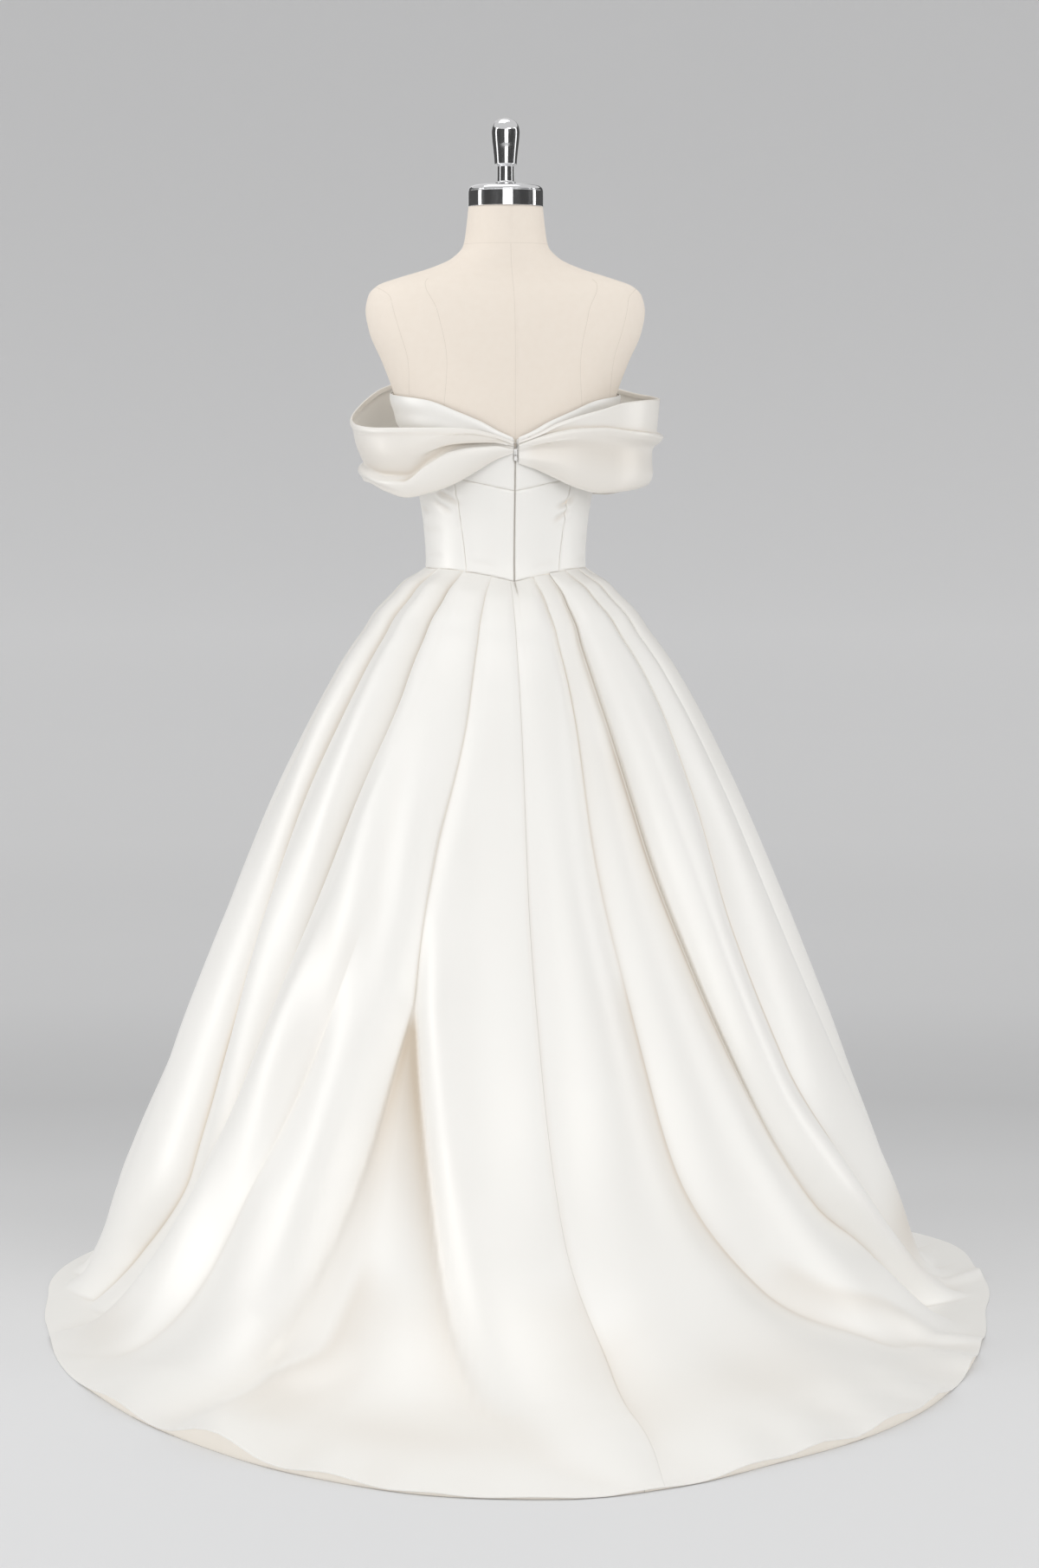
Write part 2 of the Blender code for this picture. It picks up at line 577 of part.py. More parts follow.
def make_swags():
    """Make the two draped bands, each from the centre back, round the arm, to the centre front."""
    degrees = np.array((2, 7, 12, 18, 24, 30, 36, 42, 48, 54, 60, 66, 72, 78, 84, 91, 98, 105, 112, 119,
                        127, 135, 143, 151, 160, 169, 178), dtype=float)
    for label, side, table, section in (("left", 1, SWAG_LEFT, SECTION_LEFT),
                                        ("right", -1, SWAG_RIGHT, SECTION_RIGHT)):
        outer = swag_surface(table, section, side, degrees)
        outward = outer * (1.0, 1.0, 0.0)
        add_wall("swag_" + label, outer, outward / np.linalg.norm(outward, axis=-1, keepdims=True))


def hem_reach(degrees):
    """Give the hem's distance from the axis at an angle in degrees from -180 to 180."""
    return smooth_read(HEM, 1, degrees)


def base_profile(degrees, count=240):
    """Give one line down the skirt without folds: radius and height at even steps along the cloth."""
    angle = math.radians(degrees)
    back = max(math.cos(angle), 0.0)
    front = max(-math.cos(angle), 0.0)
    waist_z = float(edge_height("waist_z", angle)) - SEAM_GAP / 2
    waist = float(bodice_radius(np.array(angle), np.array(waist_z)))
    contact = SKIRT_HALF_WIDTH + 0.10 * back ** 2 + 0.02 * front ** 2
    reach = float(hem_reach(degrees))
    toe_height = 0.08 + 0.20 * back ** 2
    toe_reach = 0.01 + min(max(0.5 * (reach - contact), 0.0), 0.22)
    fallen = np.linspace(0.0, 1.0, 200)
    radius = waist + (contact - waist) * smooth_read(FALL, 1, fallen)
    height = WAIST_Z * (1 - fallen)
    above = height > toe_height
    toe_radius = np.interp(1 - toe_height / WAIST_Z, fallen, radius)
    share = np.linspace(0.0, 1.0, 50)
    bend_r = (1 - share) ** 2 * toe_radius + 2 * share * (1 - share) * contact
    bend_r += share ** 2 * (contact + toe_reach)
    bend_z = (1 - share) ** 2 * toe_height
    lying = np.linspace(contact + toe_reach, max(reach, contact + toe_reach + 0.002), 50)[1:]
    all_r = np.concatenate((radius[above], bend_r, lying))
    all_z = np.concatenate((height[above], bend_z, 0 * lying))
    all_z = CLOTH + (waist_z - CLOTH) * all_z / WAIST_Z
    length = np.concatenate(([0.0], np.cumsum(np.hypot(np.diff(all_r), np.diff(all_z)))))
    even = np.linspace(0.0, length[-1], count)
    return np.interp(even, length, all_r), np.interp(even, length, all_z)


def base_table(step=2.0):
    """Work out the skirt without folds at every angle, once."""
    degrees = np.arange(-180.0, 180.0 + step, step)
    lines = [base_profile(value) for value in degrees]
    return degrees, np.array([line[0] for line in lines]), np.array([line[1] for line in lines])


def read_base(table, degrees, share):
    """Read radius and height of the skirt without folds at an angle and a share of the way down."""
    angles, radii, heights = table
    turned = (degrees + 180.0) % 360.0 - 180.0
    column = np.clip((turned - angles[0]) / (angles[1] - angles[0]), 0, len(angles) - 1.001)
    row = np.clip(share * (radii.shape[1] - 1), 0, radii.shape[1] - 1.001)
    left, low = column.astype(int), row.astype(int)
    part_c, part_r = column - left, row - low

    def blend(values):
        near = values[left, low] * (1 - part_r) + values[left, low + 1] * part_r
        far = values[left + 1, low] * (1 - part_r) + values[left + 1, low + 1] * part_r
        return near * (1 - part_c) + far * part_c
    return blend(radii), blend(heights)


def fold_angle(fold, share):
    """Give a fold's angle in degrees at a share of the way down."""
    rows = list(zip(FOLD_SHARES, fold[0]))
    return smooth_read(rows, 1, share)


def fold_depth(degrees, share):
    """Add up how far all the folds push the cloth in at an angle and a share of the way down."""
    strength = smooth_read(DEPTH_SHARES, 1, share)
    pushed = np.zeros_like(degrees)
    for index, (angles, depth, plus_reach, minus_reach, start) in enumerate(FOLDS):
        away = (degrees - fold_angle(FOLDS[index], share) + 180.0) % 360.0 - 180.0
        if index == POCKET_FOLD:
            half_open = np.clip((share - POCKET_START) * POCKET_OPENING, 0.0, POCKET_LIMIT)
            away = np.sign(away) * np.maximum(np.abs(away) - half_open, 0.0)
        reach = np.where(away > 0, plus_reach, minus_reach)
        begun = smooth_step((share - start) / 0.2) if start > 0 else 1.0
        pushed += depth * begun * np.exp(-(np.abs(away) / reach) ** 1.4)
    return pushed * strength


def wave_lift(degrees, share):
    """Give how far the hem's waves lift the cloth off the floor."""
    lift = np.zeros_like(degrees)
    for centre, half_width, height in HEM_WAVES:
        across = (degrees - centre) / half_width
        lift += height * np.exp(-across ** 2)
    return lift * smooth_step((share - (1 - WAVE_LENGTH)) / WAVE_LENGTH)


def skirt_point(table, degrees, share):
    """Give the skirt's outer face at an angle and a share of the way from the waist to the hem."""
    step = 0.004
    radius, height = read_base(table, degrees, share)
    low_r, low_z = read_base(table, degrees, np.clip(share - step, 0, 1))
    high_r, high_z = read_base(table, degrees, np.clip(share + step, 0, 1))
    run, drop = high_r - low_r, low_z - high_z
    length = np.hypot(run, drop)
    strength = smooth_read(DEPTH_SHARES, 1, share)
    push = 0.008 * strength - fold_depth(degrees, share)
    lying = smooth_step((0.06 - height) / 0.05)
    rise = smooth_step(share / 0.12) * run / length
    out = np.sqrt(np.maximum(1 - rise ** 2, 0.0))
    radius = radius + push * out * (1 - lying)
    height = height + push * rise * (1 - lying)
    height = height + np.maximum(0.012 * strength - fold_depth(degrees, share), 0.0) * lying
    height = height + wave_lift(degrees, share) * lying
    return spot(radius, np.radians(degrees), np.maximum(height, CLOTH))


def skirt_grid(table):
    """Work out all of the skirt: its points, and which column each fold's valley is."""
    shares = np.array(SKIRT_ROWS)
    centres = [fold_angle(fold, shares) for fold in FOLDS]
    columns, valleys = [], []
    for index, centre in enumerate(centres):
        following = centres[(index + 1) % len(centres)]
        turn = 360.0 if index == len(centres) - 1 else 0.0
        hidden = index < 5 or index > 14
        valleys.append(len(columns))
        for part in FRONT_STEPS if hidden else BACK_STEPS:
            columns.append(centre + (following - turn - centre) * part)
    valleys.append(len(columns))
    degrees = np.stack(columns, axis=1)
    share = shares[:, None] + 0 * degrees
    return skirt_point(table, degrees, share), valleys


def make_skirt():
    """Make the skirt's pieces, parted in the folds' valleys and along the centre-back seam."""
    grid, valleys = skirt_grid(base_table())
    along = np.roll(grid, -1, axis=1) - np.roll(grid, 1, axis=1)
    down = np.gradient(grid, axis=0)
    normal = np.cross(down, along)
    normal /= np.linalg.norm(normal, axis=-1, keepdims=True)
    along /= np.linalg.norm(along, axis=-1, keepdims=True)
    count = grid.shape[1]
    for name, first, last in GORES:
        picked = np.arange(valleys[first], valleys[last] + 1) % count
        outer = grid[:, picked].copy()
        outer[:, 0] += along[:, picked[0]] * SEAM_GAP / 2
        outer[:, -1] -= along[:, picked[-1]] * SEAM_GAP / 2
        add_wall(name, outer, normal[:, picked], floor=0.0)


def make_zip_chain():
    """Make the zip's chain, a narrow strip that fills the gap between the back panels."""
    heights = np.linspace(ZIP_BOTTOM_Z, SLIDER_Z - 0.002, 7)
    face = bodice_radius(0 * heights, heights) - 0.0002
    shape = bmesh.new()
    rings = []
    for height, outer in zip(heights, face):
        corners = ((-CHAIN_HALF_WIDTH, outer - 0.0018), (CHAIN_HALF_WIDTH, outer - 0.0018),
                   (CHAIN_HALF_WIDTH, outer), (-CHAIN_HALF_WIDTH, outer))
        rings.append([shape.verts.new((x, y, height)) for x, y in corners])
    for low, high in zip(rings, rings[1:]):
        for index in range(4):
            following = (index + 1) % 4
            shape.faces.new((low[index], low[following], high[following], high[index]))
    shape.faces.new(rings[0])
    shape.faces.new(rings[-1])
    finish_shape("zip_chain", shape, "zip")


def finish_shape(name, shape, material, parent=None, origin=(0.0, 0.0, 0.0)):
    """Turn a bmesh into an object with its faces outwards, at an origin of its own if given."""
    bmesh.ops.recalc_face_normals(shape, faces=shape.faces)
    mesh = bpy.data.meshes.new(name)
    shape.to_mesh(mesh)
    shape.free()
    mesh.materials.append(look(material))
    thing = bpy.data.objects.new(name, mesh)
    thing.location = origin
    bpy.context.collection.objects.link(thing)
    if parent:
        thing.parent = parent
    return thing


def add_boolean(thing, cutter, operation):
    """Join or cut with another object, and keep that object out of the build."""
    cutter.hide_render = True
    cutter.display_type = "WIRE"
    modifier = thing.modifiers.new(operation.lower(), "BOOLEAN")
    modifier.operation = operation
    modifier.solver = "EXACT"
    modifier.object = cutter


def plate_outline(shape, outline, low_y, high_y):
    """Add a flat plate of an X and Z outline between two Y planes to a bmesh."""
    back = [shape.verts.new((x, low_y, z)) for x, z in outline]
    front = [shape.verts.new((x, high_y, z)) for x, z in outline]
    shape.faces.new(back)
    shape.faces.new(list(reversed(front)))
    for index in range(len(outline)):
        following = (index + 1) % len(outline)
        shape.faces.new((back[index], front[index], front[following], back[following]))


def make_zip_slider():
    """Make the slider with its bridge, and the pull that hangs from the bridge."""
    face = float(bodice_radius(np.array(0.0), np.array(SLIDER_Z)))
    hinge = (0.0, face + 0.0020, SLIDER_Z)
    plate_front = -0.0008
    shape = bmesh.new()
    add_box(shape, (-0.0023, -0.0017, -0.0020), (0.0023, plate_front, 0.0062))
    slider = finish_shape("zip_slider", shape, "nickel", origin=hinge)
    bridge = bmesh.new()
    outline_out = ((-0.0010, -0.0024), (0.0014, -0.0018), (0.0014, 0.0018), (-0.0010, 0.0024))
    outline_in = ((-0.0010, -0.0015), (0.0008, -0.0012), (0.0008, 0.0012), (-0.0010, 0.0015))
    loop = list(outline_out) + list(reversed(outline_in))
    left = [bridge.verts.new((-0.00045, y, z)) for y, z in loop]
    right = [bridge.verts.new((0.00045, y, z)) for y, z in loop]
    for ring in (left, right):
        for index in range(3):
            bridge.faces.new((ring[index], ring[index + 1], ring[6 - index], ring[7 - index]))
    for index in range(8):
        following = (index + 1) % 8
        bridge.faces.new((left[index], left[following], right[following], right[index]))
    arch = finish_shape("zip_slider_bridge", bridge, "nickel", origin=hinge)
    add_boolean(slider, arch, "UNION")
    pivot = bpy.data.objects.new("zip_pull_pivot", None)
    pivot.location = hinge
    bpy.context.collection.objects.link(pivot)
    pull = bmesh.new()
    outline = (
        (-0.0015, 0.00045), (0.0015, 0.00045), (0.0015, -0.0036), (0.0023, -0.0062), (0.0022, -0.0088),
        (0.0012, -0.0101), (-0.0012, -0.0101), (-0.0022, -0.0088), (-0.0023, -0.0062), (-0.0015, -0.0036),
    )
    plate_outline(pull, outline, -0.00045, 0.00045)
    pull_tab = finish_shape("zip_pull", pull, "nickel", parent=pivot)
    hole = bmesh.new()
    add_box(hole, (-0.0008, -0.002, -0.0035), (0.0008, 0.002, -0.00045))
    window = finish_shape("zip_pull_window", hole, "nickel", parent=pivot)
    add_boolean(pull_tab, window, "DIFFERENCE")


def make_hook_and_eye():
    """Make the small hook and eye that close the dress above the zip."""
    face = float(bodice_radius(np.array(0.0), np.array(HOOK_Z)))
    curve = bpy.data.curves.new("hook_and_eye", "CURVE")
    curve.dimensions = "3D"
    curve.bevel_depth = 0.0004
    curve.bevel_resolution = 2
    line = curve.splines.new("POLY")
    turns = [2 * math.pi * step / 12 for step in range(12)]
    line.points.add(len(turns) - 1)
    for point, turn in zip(line.points, turns):
        point.co = (0.0026 * math.cos(turn), face + 0.0009, HOOK_Z + 0.0030 * math.sin(turn), 1.0)
    line.use_cyclic_u = True
    curve.materials.append(look("nickel"))
    thing = bpy.data.objects.new("hook_and_eye", curve)
    bpy.context.collection.objects.link(thing)


def make_stand():
    """Make the round base, the pole, the neck cap and the finial."""
    add_turned("stand_base", BASE_PROFILE, "steel")
    add_turned("stand_pole", POLE_PROFILE, "steel", sides=24)
    add_turned("form_neck_cap", CAP_PROFILE, "chrome")
    add_turned("form_finial", FINIAL_PROFILE, "chrome", sides=24)


def main():
    clear_scene()
    make_stand()
    make_torso()
    make_bodice()
    make_neck_bands()
    make_swags()
    make_skirt()
    make_zip_chain()
    make_zip_slider()
    make_hook_and_eye()


main()
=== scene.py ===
# %% [markdown]
# # A satin ball gown on its dress form
# A wedding dress hangs from what wears it. The bodice is cut tight to the body, two soft bands
# circle the arms, and the skirt falls from pleats at the waist into long pipes and a train. This
# lesson builds each of those from the same few sizes that the plain solids use, on finer meshes,
# and then gives every surface its cloth, metal or canvas.

# %% Load the plain model
import math

import bpy
import numpy as np
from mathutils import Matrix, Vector


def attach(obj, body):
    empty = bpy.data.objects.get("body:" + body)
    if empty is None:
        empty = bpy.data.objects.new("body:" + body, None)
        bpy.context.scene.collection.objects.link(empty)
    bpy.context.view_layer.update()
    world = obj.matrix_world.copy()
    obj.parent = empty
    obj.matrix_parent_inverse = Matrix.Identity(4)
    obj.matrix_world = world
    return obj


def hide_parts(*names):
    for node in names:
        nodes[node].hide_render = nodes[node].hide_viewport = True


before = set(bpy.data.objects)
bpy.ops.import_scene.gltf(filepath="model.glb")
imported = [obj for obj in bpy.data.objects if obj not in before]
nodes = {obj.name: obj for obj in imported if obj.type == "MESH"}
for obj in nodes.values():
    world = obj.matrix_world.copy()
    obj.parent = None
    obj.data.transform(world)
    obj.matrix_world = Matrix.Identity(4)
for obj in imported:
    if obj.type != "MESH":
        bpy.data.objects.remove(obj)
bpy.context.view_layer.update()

# %% [markdown]
# ## Sizes
# All sizes are in metres and all angles on the body in degrees. An angle is 0 at the centre back
# and grows towards the wearer's left. The tables are the ones that a pattern cutter would note
# down: how wide the form is at each height, where the edges of the bodice run, and how each fold
# of the skirt wanders from the waist to the hem.

# %% Sizes of the form and the bodice
# Thickness of the solids' cloth, and of the satin here.
SOLID_CLOTH = 0.002
SATIN = 0.0011
# Gaps at the seams, from form to bodice, from bodice to band and from band to swag.
SEAM_GAP = 0.0003
EASE = 0.0012
BAND_GAP = 0.0007
SWAG_GAP = 0.0004
BAND_PUFF = 0.0024
# Heights of the arm loops' middle, the waist at the side, the neck's top and the zip.
LOOP_Z = 1.170
WAIST_Z = 0.990
NECK_TOP_Z = 1.4905
ZIP_BOTTOM_Z = 0.9510
SLIDER_Z = 1.1480
# Half the gap between the back panels, above the slider and below it.
ZIP_HALF_GAP = 0.0015
ZIP_SHOWN_GAP = 0.00055
# The panels begin to part this far below the slider's middle, and are parted this much higher.
ZIP_PARTS_BELOW = 0.016
ZIP_PARTS_OVER = 0.010

# Height, half width, half depth at the back and at the front.
FORM = (
    (0.700, 0.150, 0.105, 0.100), (0.730, 0.158, 0.112, 0.105), (0.780, 0.163, 0.117, 0.108),
    (0.850, 0.156, 0.112, 0.103), (0.920, 0.131, 0.098, 0.094), (0.965, 0.113, 0.090, 0.089),
    (1.000, 0.1078, 0.0880, 0.0890), (1.050, 0.1110, 0.0905, 0.0950), (1.100, 0.1190, 0.0955, 0.1060),
    (1.150, 0.1320, 0.0995, 0.1140), (1.190, 0.1440, 0.1010, 0.1170), (1.230, 0.1550, 0.1020, 0.1140),
    (1.275, 0.1720, 0.1020, 0.1060), (1.315, 0.1895, 0.1000, 0.0970), (1.345, 0.1950, 0.0950, 0.0870),
    (1.366, 0.1910, 0.0880, 0.0790), (1.380, 0.1780, 0.0800, 0.0720), (1.392, 0.1450, 0.0710, 0.0650),
    (1.404, 0.1060, 0.0630, 0.0600), (1.418, 0.0750, 0.0575, 0.0560), (1.436, 0.0588, 0.0545, 0.0545),
    (1.462, 0.0545, 0.0525, 0.0525), (1.4905, 0.0515, 0.0505, 0.0505),
)
# The bust is a soft swelling on each side: its place, depth and half widths.
BUST_Z = 1.180
BUST_ANGLE = math.radians(147)
BUST_DEPTH = 0.012
BUST_ACROSS = math.radians(25)
BUST_UP = 0.046

# Where the bodice's edges run, on both sides alike.
EDGE_NAMES = ("angle", "top_z", "waist_z", "yoke_z")
EDGES = (
    (0, 1.1665, 0.9728, 1.0968), (12, 1.1765, 0.9775, 1.1010), (25, 1.1900, 0.9820, 1.1062),
    (40, 1.2030, 0.9860, 1.1120), (60, 1.2200, 0.9895, 1.1200), (90, 1.2290, 0.9900, 1.1300),
    (115, 1.2360, 0.9900, 1.1300), (145, 1.2440, 0.9850, 1.1300), (165, 1.2320, 0.9780, 1.1300),
    (180, 1.2180, 0.9740, 1.1300),
)
# Seams of the bodice: angle at the waist and at the top.
SEAMS = {"princess_back": (41, 52), "side": (92, 92), "princess_front": (154, 145)}
SEAM_TOP_Z = 1.19
WAIST_BACK_Z = EDGES[0][EDGE_NAMES.index("waist_z")]

# %% [markdown]
# ## Smooth curves from short tables
# Blender has curves of its own, but a surface worked out with numpy is easier to control: a
# monotone cubic through the rows of a table never overshoots, so the form has no bumps that the
# table doesn't give.


# %% Read a table as a smooth curve
def smooth_read(table, column, where):
    """Read a column of a table anywhere along its first column."""
    rows = np.array([(row[0], row[column]) for row in table], dtype=float)
    x, y = rows[:, 0], rows[:, 1]
    steps = np.diff(x)
    slopes = np.diff(y) / steps
    tangent = np.zeros_like(y)
    tangent[0], tangent[-1] = slopes[0], slopes[-1]
    same_way = slopes[1:] * slopes[:-1] > 0
    weight_1 = 2 * steps[1:] + steps[:-1]
    weight_2 = steps[1:] + 2 * steps[:-1]
    safe_1 = np.where(same_way, slopes[:-1], 1.0)
    safe_2 = np.where(same_way, slopes[1:], 1.0)
    mean = (weight_1 + weight_2) / (weight_1 / safe_1 + weight_2 / safe_2)
    tangent[1:-1] = np.where(same_way, mean, 0.0)
    where = np.clip(np.asarray(where, dtype=float), x[0], x[-1])
    cell = np.clip(np.searchsorted(x, where, side="right") - 1, 0, len(x) - 2)
    width = steps[cell]
    part = (where - x[cell]) / width
    start = y[cell] * (1 + 2 * part) * (1 - part) ** 2 + tangent[cell] * width * part * (1 - part) ** 2
    end = y[cell + 1] * part ** 2 * (3 - 2 * part) - tangent[cell + 1] * width * part ** 2 * (1 - part)
    return start + end


def smooth_step(value):
    """Go from 0 to 1 with level ends as the value goes from 0 to 1."""
    value = np.clip(value, 0.0, 1.0)
    return value * value * (3 - 2 * value)


def hump(value, centre, half_width):
    """Give 1 at the centre and fall away smoothly on both sides."""
    return np.exp(-((value - centre) / half_width) ** 2)


def spot(radius, angle, height):
    """Turn a distance from the axis, an angle and a height into points."""
    return np.stack((radius * np.sin(angle), radius * np.cos(angle), height + 0 * radius), axis=-1)


# %% The form and the bodice as surfaces
def edge_height(name, angle):
    """Give the height of one of the bodice's edges at an angle in radians."""
    turned = np.abs(np.degrees(np.arctan2(np.sin(angle), np.cos(angle))))
    return smooth_read(EDGES, EDGE_NAMES.index(name), turned)


def form_radius(angle, height):
    """Give the form's distance from its axis."""
    half_width = smooth_read(FORM, 1, height)
    half_depth = np.where(np.cos(angle) > 0, smooth_read(FORM, 2, height), smooth_read(FORM, 3, height))
    ring = 1 / np.sqrt((np.sin(angle) / half_width) ** 2 + (np.cos(angle) / half_depth) ** 2)
    turned = np.abs(np.arctan2(np.sin(angle), np.cos(angle)))
    return ring + BUST_DEPTH * hump(turned, BUST_ANGLE, BUST_ACROSS) * hump(height, BUST_Z, BUST_UP)


def bodice_radius(angle, height):
    """Give the outer face of the bodice's solids."""
    return form_radius(angle, height) + EASE + SOLID_CLOTH


print("waist half width", round(float(bodice_radius(np.array(math.pi / 2), np.array(WAIST_Z))), 4))

# %% [markdown]
# ## Shared effects for the materials
# Satin, canvas and metal all need a fine surface that the mesh is too coarse to hold. A weave and a
# soft unevenness are each a node group with named sockets, made once and placed in the materials
# with values of their own. The groups give out only masks and heights; the shader stays in the
# material.


# %% Build node groups
def new_group(name, inputs, outputs):
    """Make a shader node group with float or colour sockets."""
    group = bpy.data.node_groups.new(name, "ShaderNodeTree")
    for socket, kind, value in inputs:
        made = group.interface.new_socket(socket, in_out="INPUT", socket_type=kind)
        if value is not None:
            made.default_value = value
    for socket, kind in outputs:
        group.interface.new_socket(socket, in_out="OUTPUT", socket_type=kind)
    start = group.nodes.new("NodeGroupInput")
    end = group.nodes.new("NodeGroupOutput")
    return group, start, end


def join(tree, from_socket, to_socket):
    """Link two sockets."""
    tree.links.new(from_socket, to_socket)


def math_node(tree, operation, first, second=None, clamp=False):
    """Add a Math node fed by sockets or numbers, and give back its output."""
    node = tree.nodes.new("ShaderNodeMath")
    node.operation = operation
    node.use_clamp = clamp
    for index, value in enumerate((first, second)):
        if value is None:
            continue
        if isinstance(value, (int, float)):
            node.inputs[index].default_value = value
        else:
            join(tree, value, node.inputs[index])
    return node.outputs[0]


def make_weave_group():
    """Make the crossing threads of a cloth, from UVs that are in metres."""
    group, start, end = new_group(
        "thread_weave",
        (("Threads per metre", "NodeSocketFloat", 4000.0), ("Float length", "NodeSocketFloat", 0.2)),
        (("Height", "NodeSocketFloat"),),
    )
    uv = group.nodes.new("ShaderNodeUVMap")
    scale = group.nodes.new("ShaderNodeVectorMath")
    scale.operation = "SCALE"
    join(group, uv.outputs["UV"], scale.inputs[0])
    join(group, start.outputs["Threads per metre"], scale.inputs["Scale"])
    parts = group.nodes.new("ShaderNodeSeparateXYZ")
    join(group, scale.outputs[0], parts.inputs[0])
    across = math_node(group, "SINE", parts.outputs["X"])
    along = math_node(group, "SINE", math_node(group, "MULTIPLY", parts.outputs["Y"],
                                               start.outputs["Float length"]))
    both = math_node(group, "MULTIPLY", across, along)
    join(group, math_node(group, "ADD", math_node(group, "MULTIPLY", both, 0.5), 0.5), end.inputs["Height"])
    return group


def make_unevenness_group():
    """Make large soft patches, as daylight and handling leave on cloth and metal."""
    group, start, end = new_group(
        "soft_unevenness",
        (("Patch size", "NodeSocketFloat", 0.08), ("Stretch", "NodeSocketFloat", 1.0)),
        (("Mask", "NodeSocketFloat"), ("Fine mask", "NodeSocketFloat")),
    )
    place = group.nodes.new("ShaderNodeTexCoord")
    squeeze = group.nodes.new("ShaderNodeCombineXYZ")
    squeeze.inputs["X"].default_value = 1.0
    squeeze.inputs["Y"].default_value = 1.0
    join(group, start.outputs["Stretch"], squeeze.inputs["Z"])
    product = group.nodes.new("ShaderNodeVectorMath")
    product.operation = "MULTIPLY"
    join(group, place.outputs["Object"], product.inputs[0])
    join(group, squeeze.outputs[0], product.inputs[1])
    for detail, factor, socket in ((2.0, 1.0, "Mask"), (4.0, 5.0, "Fine mask")):
        noise = group.nodes.new("ShaderNodeTexNoise")
        noise.inputs["Detail"].default_value = detail
        noise.inputs["Roughness"].default_value = 0.5
        join(group, product.outputs[0], noise.inputs["Vector"])
        join(group, math_node(group, "DIVIDE", factor, start.outputs["Patch size"]), noise.inputs["Scale"])
        join(group, noise.outputs["Fac"], end.inputs[socket])
    return group


WEAVE = make_weave_group()
UNEVENNESS = make_unevenness_group()
print("shared groups", WEAVE.name, UNEVENNESS.name)

# %% [markdown]
# ## The materials
# Duchess satin is a heavy silk with long floating threads on its face. It shines in broad soft
# bands, not in points, and its shadows turn warm, because light bounces between folds of ivory
# cloth. A middling roughness gives the sheen, a slightly warm base colour the ivory, and the warm
# shade deep in the folds is painted: a number on each point mixes the base colour towards a warm
# tan. The form is covered in cream canvas, and its cap is polished chrome.


# %% Make the materials
def new_material(name, colour, roughness, metallic=0.0, **sockets):
    """Make a material with one Principled shader and set its plain sockets."""
    material = bpy.data.materials.new(name)
    material.use_nodes = True
    shader = material.node_tree.nodes["Principled BSDF"]
    shader.inputs["Base Color"].default_value = (*colour, 1.0)
    shader.inputs["Roughness"].default_value = roughness
    shader.inputs["Metallic"].default_value = metallic
    for socket, value in sockets.items():
        shader.inputs[socket.replace("_", " ")].default_value = value
    return material, material.node_tree, shader


def place_group(tree, group, **values):
    """Place a shared group in a material with values of its own."""
    node = tree.nodes.new("ShaderNodeGroup")
    node.node_tree = group
    for socket, value in values.items():
        node.inputs[socket.replace("_", " ")].default_value = value
    return node


# Nearly all of a noise lies between these two values.
NOISE_LOW, NOISE_HIGH = 0.3, 0.7


def vary(tree, mask, shader_socket, low, high):
    """Let a mask move a shader's number between two values."""
    ranged = tree.nodes.new("ShaderNodeMapRange")
    ranged.inputs["From Min"].default_value = NOISE_LOW
    ranged.inputs["From Max"].default_value = NOISE_HIGH
    ranged.inputs["To Min"].default_value = low
    ranged.inputs["To Max"].default_value = high
    join(tree, mask, ranged.inputs["Value"])
    join(tree, ranged.outputs["Result"], shader_socket)


def tint(tree, mask, shader, low, high):
    """Let a mask move the base colour between two colours."""
    mix = tree.nodes.new("ShaderNodeMix")
    mix.data_type = "RGBA"
    mix.inputs["A"].default_value = (*low, 1.0)
    mix.inputs["B"].default_value = (*high, 1.0)
    join(tree, mask, mix.inputs["Factor"])
    join(tree, mix.outputs["Result"], shader.inputs["Base Color"])


def bump(tree, heights, shader):
    """Chain Bump nodes of (height socket, distance in metres, strength) into the shader."""
    before = None
    for height, distance, strength in heights:
        node = tree.nodes.new("ShaderNodeBump")
        node.inputs["Distance"].default_value = distance
        node.inputs["Strength"].default_value = strength
        join(tree, height, node.inputs["Height"])
        if before:
            join(tree, before.outputs["Normal"], node.inputs["Normal"])
        before = node
    join(tree, before.outputs["Normal"], shader.inputs["Normal"])


# The colour of the shade painted into satin deep in a fold.
PAINTED_SHADE_TINT = (0.60, 0.500, 0.385)
# A little of a metal's mirror gives the pearly depth of silk: it shines where it faces a lamp and
# goes grey where it faces the room.
SATIN_METAL = 0.13


def make_satin(name, light, dark, roughness):
    """Make ivory satin with a soft uneven sheen, a very fine weave and warm shade painted from the number
    stored on each point.
    """
    material, tree, shader = new_material(name, light, roughness, SATIN_METAL, Specular_IOR_Level=0.7)
    patches = place_group(tree, UNEVENNESS, Patch_size=0.11, Stretch=0.45)
    weave = place_group(tree, WEAVE, Threads_per_metre=9000.0, Float_length=0.2)
    painted_shade = tree.nodes.new("ShaderNodeAttribute")
    painted_shade.attribute_name = "painted_shade"
    tint(tree, patches.outputs["Mask"], shader, dark, light)
    even = shader.inputs["Base Color"].links[0].from_socket
    # Painted shade: the number stored on each point mixes the base colour towards the warm tint.
    warm = tree.nodes.new("ShaderNodeMix")
    warm.data_type = "RGBA"
    warm.inputs["B"].default_value = (*PAINTED_SHADE_TINT, 1.0)
    join(tree, painted_shade.outputs["Fac"], warm.inputs["Factor"])
    join(tree, even, warm.inputs["A"])
    join(tree, warm.outputs["Result"], shader.inputs["Base Color"])
    vary(tree, patches.outputs["Mask"], shader.inputs["Roughness"], roughness - 0.04, roughness + 0.05)
    slub = (patches.outputs["Fine mask"], 0.0012, 0.22)
    threads = (weave.outputs["Height"], 0.00003, 0.35)
    bump(tree, (slub, threads), shader)
    return material


SATIN_LOOK = make_satin("ivory_satin", (0.935, 0.920, 0.886), (0.920, 0.902, 0.862), 0.45)
LINING_LOOK = make_satin("satin_lining", (0.92, 0.870, 0.790), (0.90, 0.845, 0.760), 0.60)


